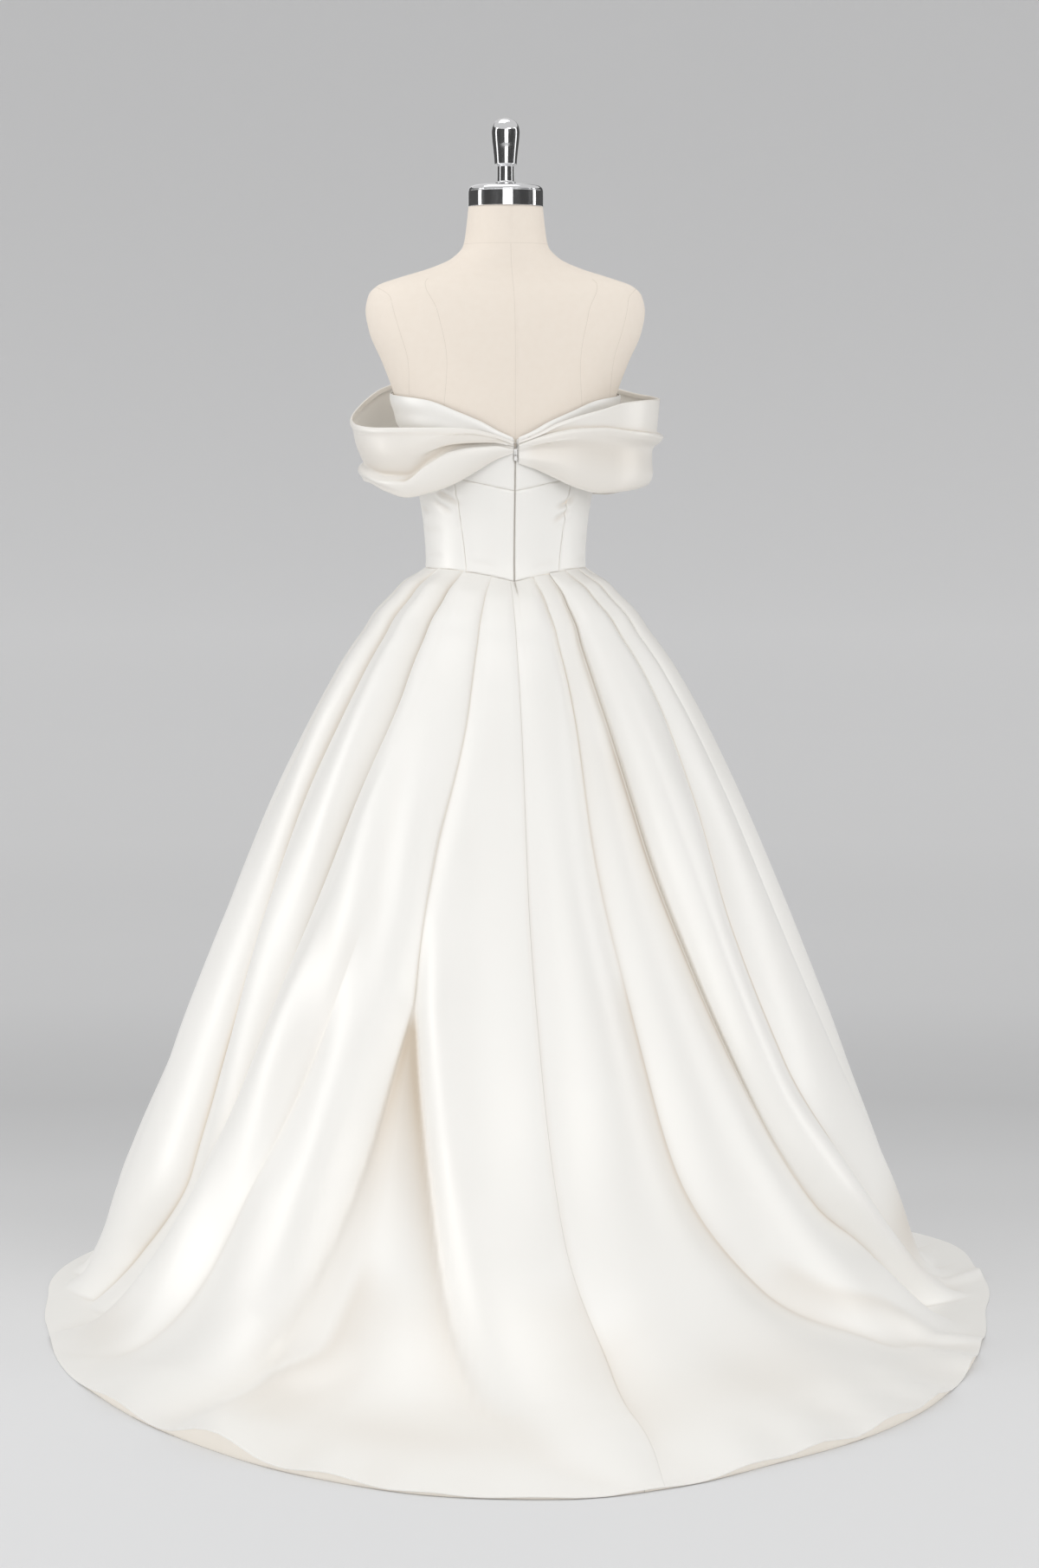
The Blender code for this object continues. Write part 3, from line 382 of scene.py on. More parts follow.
def make_canvas():
    """Make the form's cream canvas, a plain weave with no shine."""
    material, tree, shader = new_material("cream_canvas", (0.80, 0.72, 0.62), 0.86)
    patches = place_group(tree, UNEVENNESS, Patch_size=0.05, Stretch=1.0)
    weave = place_group(tree, WEAVE, Threads_per_metre=5200.0, Float_length=1.0)
    tint(tree, patches.outputs["Fine mask"], shader, (0.875, 0.785, 0.685), (0.905, 0.822, 0.728))
    bump(tree, ((weave.outputs["Height"], 0.00012, 0.5),), shader)
    return material


def make_metal(name, colour, roughness, spread, patch_size):
    """Make a metal whose polish varies a little."""
    material, tree, shader = new_material(name, colour, roughness, 1.0)
    patches = place_group(tree, UNEVENNESS, Patch_size=patch_size, Stretch=1.0)
    vary(tree, patches.outputs["Fine mask"], shader.inputs["Roughness"], roughness, roughness + spread)
    return material


CANVAS_LOOK = make_canvas()
CHROME_LOOK = make_metal("polished_chrome", (0.86, 0.86, 0.87), 0.05, 0.04, 0.02)
NICKEL_LOOK = make_metal("worn_nickel", (0.74, 0.73, 0.71), 0.22, 0.12, 0.003)
STEEL_LOOK = make_metal("brushed_steel", (0.72, 0.72, 0.73), 0.30, 0.12, 0.03)


def make_matt_look(name, colour, roughness, patch_size):
    """Make the plain look of a canvas seam or of zip teeth."""
    material, tree, shader = new_material(name, colour, roughness)
    patches = place_group(tree, UNEVENNESS, Patch_size=patch_size, Stretch=1.0)
    darker = tuple(0.85 * value for value in colour)
    tint(tree, patches.outputs["Fine mask"], shader, darker, colour)
    bump(tree, ((patches.outputs["Fine mask"], 0.0001, 0.3),), shader)
    return material


SEAM_LOOK = make_matt_look("canvas_seam", (0.78, 0.70, 0.60), 0.85, 0.004)
TEETH_LOOK = make_matt_look("zip_teeth", (0.66, 0.62, 0.56), 0.45, 0.002)
looks = (SATIN_LOOK, LINING_LOOK, CANVAS_LOOK, CHROME_LOOK, NICKEL_LOOK, STEEL_LOOK, SEAM_LOOK, TEETH_LOOK)
print("materials", [look.name for look in looks])

# %% [markdown]
# ## Meshes from grids
# Cloth is a sheet, so every piece of it starts as a grid of points: rows down the cloth and
# columns across. A second grid, moved in by the thickness, closes it to a thin shell. Its UVs are
# the real lengths along the cloth, in metres, so that the weave has the same size everywhere.


# %% Turn a grid into a thin shell
def grid_quads(rows, columns, closed=False):
    """List the four corners of each cell of a grid, which may close on itself across."""
    row = np.arange(rows - 1)[:, None]
    column = np.arange(columns if closed else columns - 1)[None, :]
    following = (column + 1) % columns
    start = row * columns
    return np.stack((start + column, start + following, start + columns + following,
                     start + columns + column), axis=-1).reshape(-1, 4)


def grid_lengths(grid):
    """Give each point's distance across and down the cloth, in metres."""
    across = np.linalg.norm(np.diff(grid, axis=1), axis=-1)
    down = np.linalg.norm(np.diff(grid, axis=0), axis=-1)
    across = np.concatenate((np.zeros((grid.shape[0], 1)), np.cumsum(across, axis=1)), axis=1)
    down = np.concatenate((np.zeros((1, grid.shape[1])), np.cumsum(down, axis=0)), axis=0)
    middle = across[:, across.shape[1] // 2][:, None]
    return np.stack((across - middle, down), axis=-1)


def build_mesh(name, points, quads, material, uvs=None):
    """Make an object from arrays of points and quads, and ride it on the dress's body."""
    mesh = bpy.data.meshes.new(name)
    mesh.vertices.add(len(points))
    mesh.vertices.foreach_set("co", np.asarray(points, dtype=np.float32).ravel())
    mesh.loops.add(quads.size)
    mesh.loops.foreach_set("vertex_index", np.asarray(quads, dtype=np.int32).ravel())
    mesh.polygons.add(len(quads))
    mesh.polygons.foreach_set("loop_start", np.arange(0, quads.size, 4, dtype=np.int32))
    mesh.update(calc_edges=True)
    if uvs is not None:
        layer = mesh.uv_layers.new(name="cloth_metres")
        layer.uv.foreach_set("vector", np.asarray(uvs[quads.ravel()], dtype=np.float32).ravel())
    mesh.validate()
    mesh.shade_smooth()
    mesh.materials.append(material)
    thing = bpy.data.objects.new(name, mesh)
    bpy.context.scene.collection.objects.link(thing)
    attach(thing, "root")
    return thing


def grid_directions(grid, closed=False):
    """Give the unit direction across a grid at each point, from its neighbours."""
    if closed:
        along = np.roll(grid, -1, axis=1) - np.roll(grid, 1, axis=1)
    else:
        along = np.gradient(grid, axis=1)
    down = np.gradient(grid, axis=0)
    normal = np.cross(down, along)
    size = np.linalg.norm(normal, axis=-1, keepdims=True)
    return normal / np.maximum(size, 1e-12)


# How strongly the shade painted into the folds' hollows shows, and how hollows are found: how many
# points away the cloth is compared on both sides, and how much that counts.
HOLLOW_GAIN = 0.4
HOLLOW_REACHES = ((2, 0.6), (5, 0.8), (9, 0.8))
# An edge that turns by more than this stays crisp.
CRISP = math.radians(55)


def hollowness(grid, normal, closed=False):
    """Give from 0 to 1 how deep in a fold each point of a cloth lies, which sets how much warm shade is
    painted there.
    """
    total = np.zeros(grid.shape[:2])
    for reach, gain in HOLLOW_REACHES:
        if closed:
            before, after = np.roll(grid, reach, axis=1), np.roll(grid, -reach, axis=1)
        else:
            first, last = grid[:, :1].repeat(reach, axis=1), grid[:, -1:].repeat(reach, axis=1)
            padded = np.concatenate((first, grid, last), axis=1)
            before, after = padded[:, :-2 * reach], padded[:, 2 * reach:]
        chord = np.linalg.norm(after - before, axis=-1) / 2 + 1e-6
        sunk = np.sum(((before + after) / 2 - grid) * normal, axis=-1)
        total += gain * np.clip(sunk / chord, 0.0, 1.0)
    return np.clip(total, 0.0, 1.0)


def shell(name, outer, normal, material=SATIN_LOOK, thickness=SATIN, floor=None, painted_shade=None):
    """Close a grid to a thin shell of cloth, whose outward side is given by its directions, and store the
    painted shade on its points.
    """
    inner = outer - normal * thickness
    if floor is not None:
        inner[..., 2] = np.maximum(inner[..., 2], floor)
    rows, columns = outer.shape[:2]
    count = rows * columns
    face = grid_quads(rows, columns)
    rim = np.concatenate((
        np.arange(columns), np.arange(1, rows) * columns + columns - 1,
        (rows - 1) * columns + np.arange(columns - 2, -1, -1), np.arange(rows - 2, 0, -1) * columns,
    ))
    after = np.roll(rim, -1)
    sides = np.stack((after, rim, rim + count, after + count), axis=-1)
    quads = np.concatenate((face, face[:, ::-1] + count, sides))
    middle = (rows // 2) * (columns - 1) + columns // 2
    corner = outer.reshape(-1, 3)[face[middle]]
    turned = np.cross(corner[1] - corner[0], corner[2] - corner[0])
    if np.dot(turned, normal.reshape(-1, 3)[face[middle][0]]) < 0:
        quads = quads[:, ::-1]
    uvs = grid_lengths(outer).reshape(-1, 2)
    points = np.concatenate((outer.reshape(-1, 3), inner.reshape(-1, 3)))
    thing = build_mesh(name, points, quads, material, np.concatenate((uvs, uvs)))
    if painted_shade is None:
        painted_shade = HOLLOW_GAIN * hollowness(outer, normal)
    thing.data.set_sharp_from_angle(angle=CRISP)
    layer = thing.data.attributes.new("painted_shade", "FLOAT", "POINT")
    layer.data.foreach_set("value", np.tile(painted_shade.ravel(), 2).astype(np.float32))
    return thing


def refine(grid, count, axis):
    """Put more rows or columns through a coarse grid, along smooth curves."""
    grid = np.moveaxis(grid, axis, 0)
    last = len(grid) - 1
    where = np.linspace(0, last, count)
    cell = np.clip(where.astype(int), 0, last - 1)
    part = (where - cell).reshape((-1,) + (1,) * (grid.ndim - 1))
    before = grid[np.maximum(cell - 1, 0)]
    start = grid[cell]
    end = grid[cell + 1]
    after = grid[np.minimum(cell + 2, last)]
    made = 0.5 * (2 * start + (end - before) * part
                  + (2 * before - 5 * start + 4 * end - after) * part ** 2
                  + (3 * start - before - 3 * end + after) * part ** 3)
    return np.moveaxis(made, 0, axis)


# %% [markdown]
# ## The dress form
# The form is a padded shell covered in canvas panels, drawn tight. A lathe can't make it, because
# the back is flatter than the sides, so the mesh is rings of an ellipse whose two half depths
# differ. The seams of the canvas are thin sunk cords laid along its surface, which show as the
# faint lines that a real form has.

# %% Build the canvas form
FORM_ROWS = 170
FORM_COLUMNS = 144
# Share of the rows, and the height that it reaches, so that rows crowd at the shoulders.
FORM_ROW_HEIGHTS = ((0.0, 0.700), (0.35, 1.02), (0.7, 1.345), (0.86, 1.405), (1.0, NECK_TOP_Z))


def ring_mesh(name, rings, material):
    """Make a closed body from rings of points, with a fan of small quads at each end."""
    rows, columns = rings.shape[:2]
    low = rings[0].mean(axis=0) + 0 * rings[0]
    high = rings[-1].mean(axis=0) + 0 * rings[-1]
    closing = [rings[0] + (low - rings[0]) * share for share in (0.98, 0.5, 0.03)]
    opening = [rings[-1] + (high - rings[-1]) * share for share in (0.03, 0.5, 0.98)]
    grid = np.concatenate((np.stack(closing), rings, np.stack(opening)))
    quads = grid_quads(len(grid), columns, closed=True)
    corner = grid.reshape(-1, 3)[quads[len(quads) // 2]]
    turned = np.cross(corner[1] - corner[0], corner[2] - corner[0])
    outward = corner[0] - rings.reshape(-1, 3).mean(axis=0)
    outward[2] = 0
    if np.dot(turned, outward) < 0:
        quads = quads[:, ::-1]
    uvs = grid_lengths(grid).reshape(-1, 2)
    return build_mesh(name, grid.reshape(-1, 3), quads, material, uvs)


form_heights = smooth_read(FORM_ROW_HEIGHTS, 1, np.linspace(0, 1, FORM_ROWS))[:, None]
form_turns = np.linspace(0, 2 * math.pi, FORM_COLUMNS, endpoint=False)[None, :]
form_rings = spot(form_radius(form_turns, form_heights), form_turns + 0 * form_heights, form_heights)
form_body = ring_mesh("form_body", form_rings, CANVAS_LOOK)
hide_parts("form_torso")
print("form", len(form_body.data.polygons), "faces")


# %% Lay the form's seams
def tube_mesh(name, paths, radius, material, sides=6):
    """Make thin round cords along several paths of points, as one mesh."""
    points, quads, start = [], [], 0
    turn = np.linspace(0, 2 * math.pi, sides, endpoint=False)
    for path in paths:
        path = np.asarray(path, dtype=float)
        along = np.gradient(path, axis=0)
        along /= np.maximum(np.linalg.norm(along, axis=-1, keepdims=True), 1e-12)
        guide = np.array((0.0, 0.0, 1.0)) + 0 * along
        guide[np.abs(along[:, 2]) > 0.9] = (1.0, 0.0, 0.0)
        side = np.cross(along, guide)
        side /= np.linalg.norm(side, axis=-1, keepdims=True)
        up = np.cross(side, along)
        ring = (path[:, None] + radius * (side[:, None] * np.cos(turn)[:, None]
                                          + up[:, None] * np.sin(turn)[:, None]))
        points.append(ring.reshape(-1, 3))
        quads.append(grid_quads(len(path), sides, closed=True) + start)
        quads.append(np.array([[0, 1, 2, 3], [0, 3, 4, 5]]) + start)
        end = start + (len(path) - 1) * sides
        quads.append(np.array([[3, 2, 1, 0], [5, 4, 3, 0]]) + end)
        start += len(path) * sides
    return build_mesh(name, np.concatenate(points), np.concatenate(quads), material)


def on_form(angles, heights):
    """Lay a line of angles in degrees and heights on the form."""
    angles = np.radians(np.asarray(angles, dtype=float))
    heights = np.asarray(heights, dtype=float)
    return spot(form_radius(angles, heights) - SEAM_SUNK, angles, heights)


# Half the thickness of a cord, and how far it is sunk into the canvas.
SEAM_CORD = 0.00035
SEAM_SUNK = 0.00024
NECK_SEAM_Z = 1.4375
# The seams down the middle: angle, and the heights of both ends.
MIDDLE_SEAMS = ((0, 1.165, 1.437), (180, 1.21, 1.437))
# The princess seam of the back: height, angle. The front's lies this share as far from the middle.
BACK_SEAM = ((1.19, 52), (1.28, 47), (1.34, 52), (1.388, 66))
FRONT_SEAM_SHARE = 0.72
# The seam round the arm plate: share of the way round, height, and the same with the angle.
ARM_SEAM_HEIGHTS = ((0, 1.222), (0.25, 1.285), (0.5, 1.3765), (0.75, 1.285), (1, 1.225))
ARM_SEAM_ANGLES = ((0, 73), (0.25, 68), (0.42, 74), (0.5, 88), (0.58, 102), (0.75, 112), (1, 107))
SEAM_STEPS = 90
neck_turn = np.linspace(0, 360, 121)
seam_paths = [on_form(neck_turn, NECK_SEAM_Z + 0 * neck_turn)]
for angle, low, high in MIDDLE_SEAMS:
    heights = np.linspace(low, high, SEAM_STEPS)
    seam_paths.append(on_form(angle + 0 * heights, heights))
for side in (1, -1):
    heights = np.linspace(BACK_SEAM[0][0], BACK_SEAM[-1][0], SEAM_STEPS)
    back = smooth_read(BACK_SEAM, 1, heights)
    seam_paths.append(on_form(side * back, heights))
    seam_paths.append(on_form(side * (180 - back * FRONT_SEAM_SHARE), heights))
    around = np.linspace(0, 1, SEAM_STEPS)
    arm_height = smooth_read(ARM_SEAM_HEIGHTS, 1, around)
    arm_angle = smooth_read(ARM_SEAM_ANGLES, 1, around)
    seam_paths.append(on_form(side * arm_angle, arm_height))
form_seams = tube_mesh("form_seams", seam_paths, SEAM_CORD, SEAM_LOOK)
print("form seams", len(seam_paths))

# %% [markdown]
# ## Cap, finial, pole and base
# The cap and the finial are turned parts, so a short outline spun round the axis is their true
# shape. Small radii at the rims catch the light. The base and the pole are turned in the plain
# model already, and only get their steel.

# %% Turn the cap and the finial
# Height and half width of each point.
CAP_OUTLINE = (
    (1.4908, 0.0500), (1.4908, 0.0514), (1.4914, 0.0518), (1.5106, 0.0518), (1.5112, 0.0514),
    (1.5114, 0.0508), (1.5119, 0.0507), (1.5124, 0.0513), (1.5138, 0.0512), (1.5160, 0.0500),
    (1.5182, 0.0470), (1.5198, 0.0410), (1.5204, 0.0330), (1.5205, 0.0200), (1.5205, 0.0128),
)
CAP_ROWS = 60
FINIAL_OUTLINE = (
    (1.5208, 0.0110), (1.5208, 0.0138), (1.5222, 0.0142), (1.5238, 0.0138), (1.5248, 0.0117),
    (1.5300, 0.0113), (1.5440, 0.0112), (1.5462, 0.0116), (1.5478, 0.0142), (1.5490, 0.0152),
    (1.5515, 0.0155), (1.5560, 0.0158), (1.5700, 0.0172), (1.5800, 0.0184), (1.5880, 0.0191),
    (1.5940, 0.0193), (1.6000, 0.0184), (1.6050, 0.0163), (1.6090, 0.0128), (1.6115, 0.0080),
    (1.6124, 0.0030),
)
FINIAL_ROWS = 90
TURNED_SIDES = 112


def turned(name, outline, material, rows):
    """Spin an outline of heights and half widths round the axis."""
    line = refine(np.array(outline), rows, 0)
    turn = np.linspace(0, 2 * math.pi, TURNED_SIDES, endpoint=False)
    rings = spot(line[:, 1][:, None] + 0 * turn, turn[None, :] + 0 * line[:, :1], line[:, 0][:, None])
    return ring_mesh(name, rings, material)


neck_cap = turned("neck_cap", CAP_OUTLINE, CHROME_LOOK, CAP_ROWS)
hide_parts("form_neck_cap")
finial = turned("finial", FINIAL_OUTLINE, CHROME_LOOK, FINIAL_ROWS)
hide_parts("form_finial")
for look, names in ((STEEL_LOOK, ("stand_base", "stand_pole")),
                    (NICKEL_LOOK, ("zip_slider", "zip_pull", "hook_and_eye"))):
    for name in names:
        nodes[name].data.materials.clear()
        nodes[name].data.materials.append(look)
print("cap and finial", len(neck_cap.data.polygons), len(finial.data.polygons))

# %% [markdown]
# ## The bodice
# The bodice is cut in panels and boned, so it stays smooth and close to the form. What the eye
# reads is the seams: at each one the two layers turn in, and the line is a narrow groove with a
# faint pucker. Each panel is a grid between two seam lines, with its columns closer together at
# the seams, and its edges are rolled in by a millimetre. A few slack creases run from the side
# seams, where the cloth is a little loose.

# %% Creases of the bodice, each a soft trough from one point to another
# Columns: angle and height of one end, angle and height of the other, depth, half width.
CREASES = (
    (66, 1.099, 40, 1.073, 0.0034, 0.0042),
    (70, 1.085, 48, 1.062, 0.0020, 0.0045),
    (-54, 1.089, -33, 1.072, 0.0034, 0.0040),
    (-49, 1.072, -30, 1.052, 0.0028, 0.0040),
    (88, 1.045, 58, 1.040, 0.0007, 0.0050),
    (90, 1.073, 72, 1.068, 0.0020, 0.0034),
    (-88, 1.040, -62, 1.030, 0.0007, 0.0050),
    (84, 1.012, 60, 1.004, 0.0006, 0.0040),
    (-84, 1.010, -58, 1.002, 0.0006, 0.0040),
    (40, 1.000, 12, 0.992, 0.0005, 0.0040),
    (-38, 1.001, -12, 0.990, 0.0005, 0.0040),
    (112, 1.060, 140, 1.050, 0.0006, 0.0050),
    (-116, 1.055, -142, 1.044, 0.0006, 0.0050),
)
# How far a crease bows, the bodice's radius where most creases lie, and how much shade is painted
# into a crease for each metre of its depth.
CREASE_BEND = 0.0012
CREASE_RADIUS = 0.12
CREASE_SHADE = 70
# A seam's groove: depth, half width, and how much shade is painted beside it.
SEAM_DEPTH = 0.0010
SEAM_ROLL = 0.0013
SEAM_SHADE = 0.13
# The pucker along a seam: height, length of a ripple, how far it reaches.
PUCKER = 0.00018
PUCKER_LENGTH = 0.0042
PUCKER_REACH = 0.005
# The most shade painted on a panel, and the height from which a panel's rows are first worked out.
DARKEST_BODICE = 0.8
PANEL_START_Z = 1.1


def crease_depth(angle, height):
    """Add up how deep the creases of the bodice are at each point."""
    degrees = np.degrees(np.arctan2(np.sin(angle), np.cos(angle)))
    total = np.zeros_like(height)
    metres = CREASE_RADIUS * math.pi / 180
    for angle_1, z_1, angle_2, z_2, depth, half_width in CREASES:
        line = np.array(((angle_2 - angle_1) * metres, z_2 - z_1))
        length = np.hypot(*line)
        x = (degrees - angle_1) * metres
        y = height - z_1
        along = (x * line[0] + y * line[1]) / length
        across = (x * line[1] - y * line[0]) / length
        bend = CREASE_BEND * np.sin(along / length * math.pi)
        fade = smooth_step(along / length * 3 + 0.2) * smooth_step((1 - along / length) * 2.2)
        ridge = 0.4 * hump(across, bend + 2 * half_width, half_width)
        total += depth * fade * (hump(across, bend, half_width) - ridge)
    return total


def seam_line(name):
    """Give a function for the angle of one seam of the bodice at a height, in radians."""
    at_waist, at_top = SEAMS[name]
    return lambda height: np.radians(np.interp(height, (WAIST_Z, SEAM_TOP_Z), (at_waist, at_top)))


def seam_side(line, sign):
    """Move a seam line by half the gap between two panels."""
    return lambda height: line(height) + sign * (SEAM_GAP / 2) / bodice_radius(line(height), height)


def zip_line(height):
    """Give the angle of a back panel's edge at the zip: nearly closed below the slider."""
    parted = smooth_step((height - SLIDER_Z + ZIP_PARTS_BELOW) / ZIP_PARTS_OVER)
    half_gap = ZIP_SHOWN_GAP + (ZIP_HALF_GAP - ZIP_SHOWN_GAP) * parted
    return half_gap / bodice_radius(0 * height, height)


def make_panel(name, node, side, first, last, low_name, high_name, rows, columns):
    """Make one bodice panel between two seams and two edges."""
    share_up = np.linspace(0, 1, rows)[:, None]
    share_across = (0.5 - 0.5 * np.cos(np.linspace(0, math.pi, columns)))[None, :]
    low_gap = SEAM_GAP / 2
    high_gap = SEAM_GAP / 2 if high_name == "yoke_z" else 0.0
    # The seams lean and the edges curve, so height and angle are found together, in a few rounds.
    height = PANEL_START_Z + 0 * share_up * share_across
    for _ in range(6):
        start, end = first(height), last(height)
        angle = start + (end - start) * share_across
        low = edge_height(low_name, angle) + low_gap
        high = edge_height(high_name, angle) - high_gap
        height = low + (high - low) * (0.5 - 0.5 * np.cos(math.pi * share_up)) ** 0.9
    angle = side * angle
    radius = bodice_radius(angle, height)
    from_start = np.abs(angle - side * start) * radius
    from_end = np.abs(angle - side * end) * radius
    from_low = height - low
    from_high = high - height
    edge = np.minimum(np.minimum(from_start, from_end), from_low)
    if high_name == "yoke_z":
        edge = np.minimum(edge, from_high)
    roll = SEAM_DEPTH * np.exp(-(edge / SEAM_ROLL) ** 1.5)
    ripple = PUCKER * np.sin(height / PUCKER_LENGTH * 2 * math.pi + 3 * np.sin(height * 90))
    ripple = ripple * np.exp(-(edge / PUCKER_REACH))
    radius = radius - roll + ripple - crease_depth(angle, height)
    outer = spot(radius, angle, height)
    normal = side * grid_directions(outer)
    outward = outer.copy()
    outward[..., 2] = 0
    if np.sum(normal * outward) < 0:
        normal = -normal
    # Painted shade: warm in the cloth's hollows, along the creases and beside the seams.
    shade = HOLLOW_GAIN * hollowness(outer, normal)
    shade += CREASE_SHADE * np.maximum(crease_depth(angle, height), 0.0)
    shade += SEAM_SHADE * np.exp(-(edge / SEAM_ROLL) ** 2)
    panel = shell(name, outer, normal, painted_shade=np.clip(shade, 0.0, DARKEST_BODICE))
    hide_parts(node)
    return panel


# %% Make the nine panels
FRONT_LINE = seam_line("princess_front")
BACK_LINE = seam_line("princess_back")
SIDE_LINE = seam_line("side")
# Panel, node, the seams on both sides of it, the edges below and above it, rows, columns.
SIDE_PANELS = (
    ("back_panel_", "bodice_back_", zip_line, seam_side(BACK_LINE, -1), "waist_z", "yoke_z", 64, 48),
    ("yoke_panel_", "back_yoke_", zip_line, seam_side(BACK_LINE, -1), "yoke_z", "top_z", 32, 48),
    ("side_back_panel_", "side_back_", seam_side(BACK_LINE, 1), seam_side(SIDE_LINE, -1),
     "waist_z", "top_z", 96, 56),
    ("side_front_panel_", "side_front_", seam_side(SIDE_LINE, 1), seam_side(FRONT_LINE, -1),
     "waist_z", "top_z", 80, 40),
)
panels = []
for side, label in ((1, "left"), (-1, "right")):
    for name, node, *shape in SIDE_PANELS:
        panels.append(make_panel(name + label, node + label, side, *shape))
far_front = seam_side(FRONT_LINE, 1)
panels.append(make_panel("front_panel", "centre_front", 1, far_front,
                         lambda height: 2 * math.pi - far_front(height), "waist_z", "top_z", 80, 50))
print("bodice panels", [panel.name for panel in panels])

# %% [markdown]
# ### What lies behind the seams
# A waist stay, a narrow ribbon, is sewn inside along the waist seam and takes the weight of the
# skirt. The zip's teeth sit on two woven tapes behind the panels' edges. Both fill the narrow gaps
# between the panels, so a seam reads as a fine line of cloth and not as a black slit.


# %% Make the waist stay and the zip's tapes
RIBBON_THICKNESS = 0.0003
# How far inside the bodice's face each ribbon lies, and half its width.
STAY_INSET, STAY_HALF_WIDTH = 0.0013, 0.006
TAPE_INSET, TAPE_HALF_WIDTH = 0.0026, 0.0056
TAPE_MIDDLE = 0.0061
TAPE_TOP_Z, TAPE_BOTTOM_Z = 1.150, 0.975
# The bodice's radius at the zip, which turns metres into an angle.
BACK_RADIUS = 0.09


def ribbon(name, angles, heights, inset, half_width, upright):
    """Lay a narrow flat ribbon behind a line of angles (radians) and heights on the bodice."""
    across = np.linspace(-1.0, 1.0, 7)[:, None]
    line_angle = angles[None, :] + (1.0 if upright else 0.0) * across * half_width / BACK_RADIUS
    line_height = heights[None, :] - (0.0 if upright else 1.0) * across * half_width
    outer = spot(bodice_radius(line_angle, line_height) - inset, line_angle, line_height)
    normal = spot(1.0 + 0 * line_angle, line_angle, 0 * line_angle)
    return shell(name, outer, normal, LINING_LOOK, thickness=RIBBON_THICKNESS)


stays = []
for label, begin, end in (("left", 0.4, 179.8), ("right", 180.2, 359.6)):
    stay_angles = np.radians(np.linspace(begin, end, 160))
    stays.append(ribbon("waist_stay_" + label, stay_angles, edge_height("waist_z", stay_angles),
                        STAY_INSET, STAY_HALF_WIDTH, upright=False))
tapes = []
for label, side in (("left", 1), ("right", -1)):
    tape_heights = np.linspace(TAPE_TOP_Z, TAPE_BOTTOM_Z, 120)
    tape_angles = side * TAPE_MIDDLE / BACK_RADIUS + 0 * tape_heights
    tapes.append(ribbon("zip_tape_" + label, tape_angles, tape_heights, TAPE_INSET, TAPE_HALF_WIDTH,
                        upright=True))
print("stays and tapes", [piece.name for piece in stays + tapes])

# %% [markdown]
# ## The neckline's folded band
# A straight strip is folded over the neckline and held by the bodice's top edge. It hugs the body
# inside each arm loop, and its two soft folds fan out from the centre back. It is a shell on the
# solid's own line, with the folds added as long shallow waves that start together.

# %% Make the bands
BAND_ROWS = 26
BAND_COLUMNS = 150
BAND_BEGIN, BAND_END = 2.05, 178.0
BAND_ABOVE_EDGE = 0.0015
BAND_FOLD = 0.0008
# How deep the band is at each angle, and how far it swells at each share of the way down it.
BAND_DEPTHS = ((2, 0.012), (20, 0.030), (60, 0.045), (150, 0.045), (178, 0.030))
BAND_SWELL = ((0, 0.0), (0.06, 0.42), (0.22, 0.75), (0.5, 1.0), (0.8, 0.7), (1, 0.0))


def band_puff(degrees):
    """Give how far the folded band swells, which is nothing where the swags end."""
    return BAND_PUFF * smooth_step(degrees / 20) * smooth_step((180 - degrees) / 20)


def outward_direction(angle, height):
    """Give the bodice's outward direction at each point."""
    step = 0.001
    along = (spot(bodice_radius(angle + step, height), angle + step, height)
             - spot(bodice_radius(angle - step, height), angle - step, height))
    up = (spot(bodice_radius(angle, height + step), angle, height + step)
          - spot(bodice_radius(angle, height - step), angle, height - step))
    normal = np.cross(up, along)
    return normal / np.linalg.norm(normal, axis=-1, keepdims=True)


bands = []
for side, label in ((1, "left"), (-1, "right")):
    share = np.linspace(0, 1, BAND_ROWS)[:, None]
    degrees = np.linspace(BAND_BEGIN, BAND_END, BAND_COLUMNS)[None, :]
    angle = side * np.radians(degrees)
    depth = np.interp(degrees, *zip(*BAND_DEPTHS))
    height = edge_height("top_z", angle) + BAND_ABOVE_EDGE - depth * share
    swell = smooth_read(BAND_SWELL, 1, share)
    folds = BAND_FOLD * np.sin(share * 9.0 + 0.6 * np.sin(degrees / 23)) * smooth_step(degrees / 25)
    folds = folds * smooth_step((BAND_END - degrees) / 25)
    normal = outward_direction(angle, height)
    lift = BAND_GAP + SOLID_CLOTH + swell * band_puff(degrees) + folds - 0.0004
    outer = spot(bodice_radius(angle, height), angle, height) + normal * lift[..., None]
    band = shell("neckline_band_" + label, outer, normal)
    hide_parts("neck_band_" + label)
    bands.append(band)
print("bands", [band.name for band in bands])
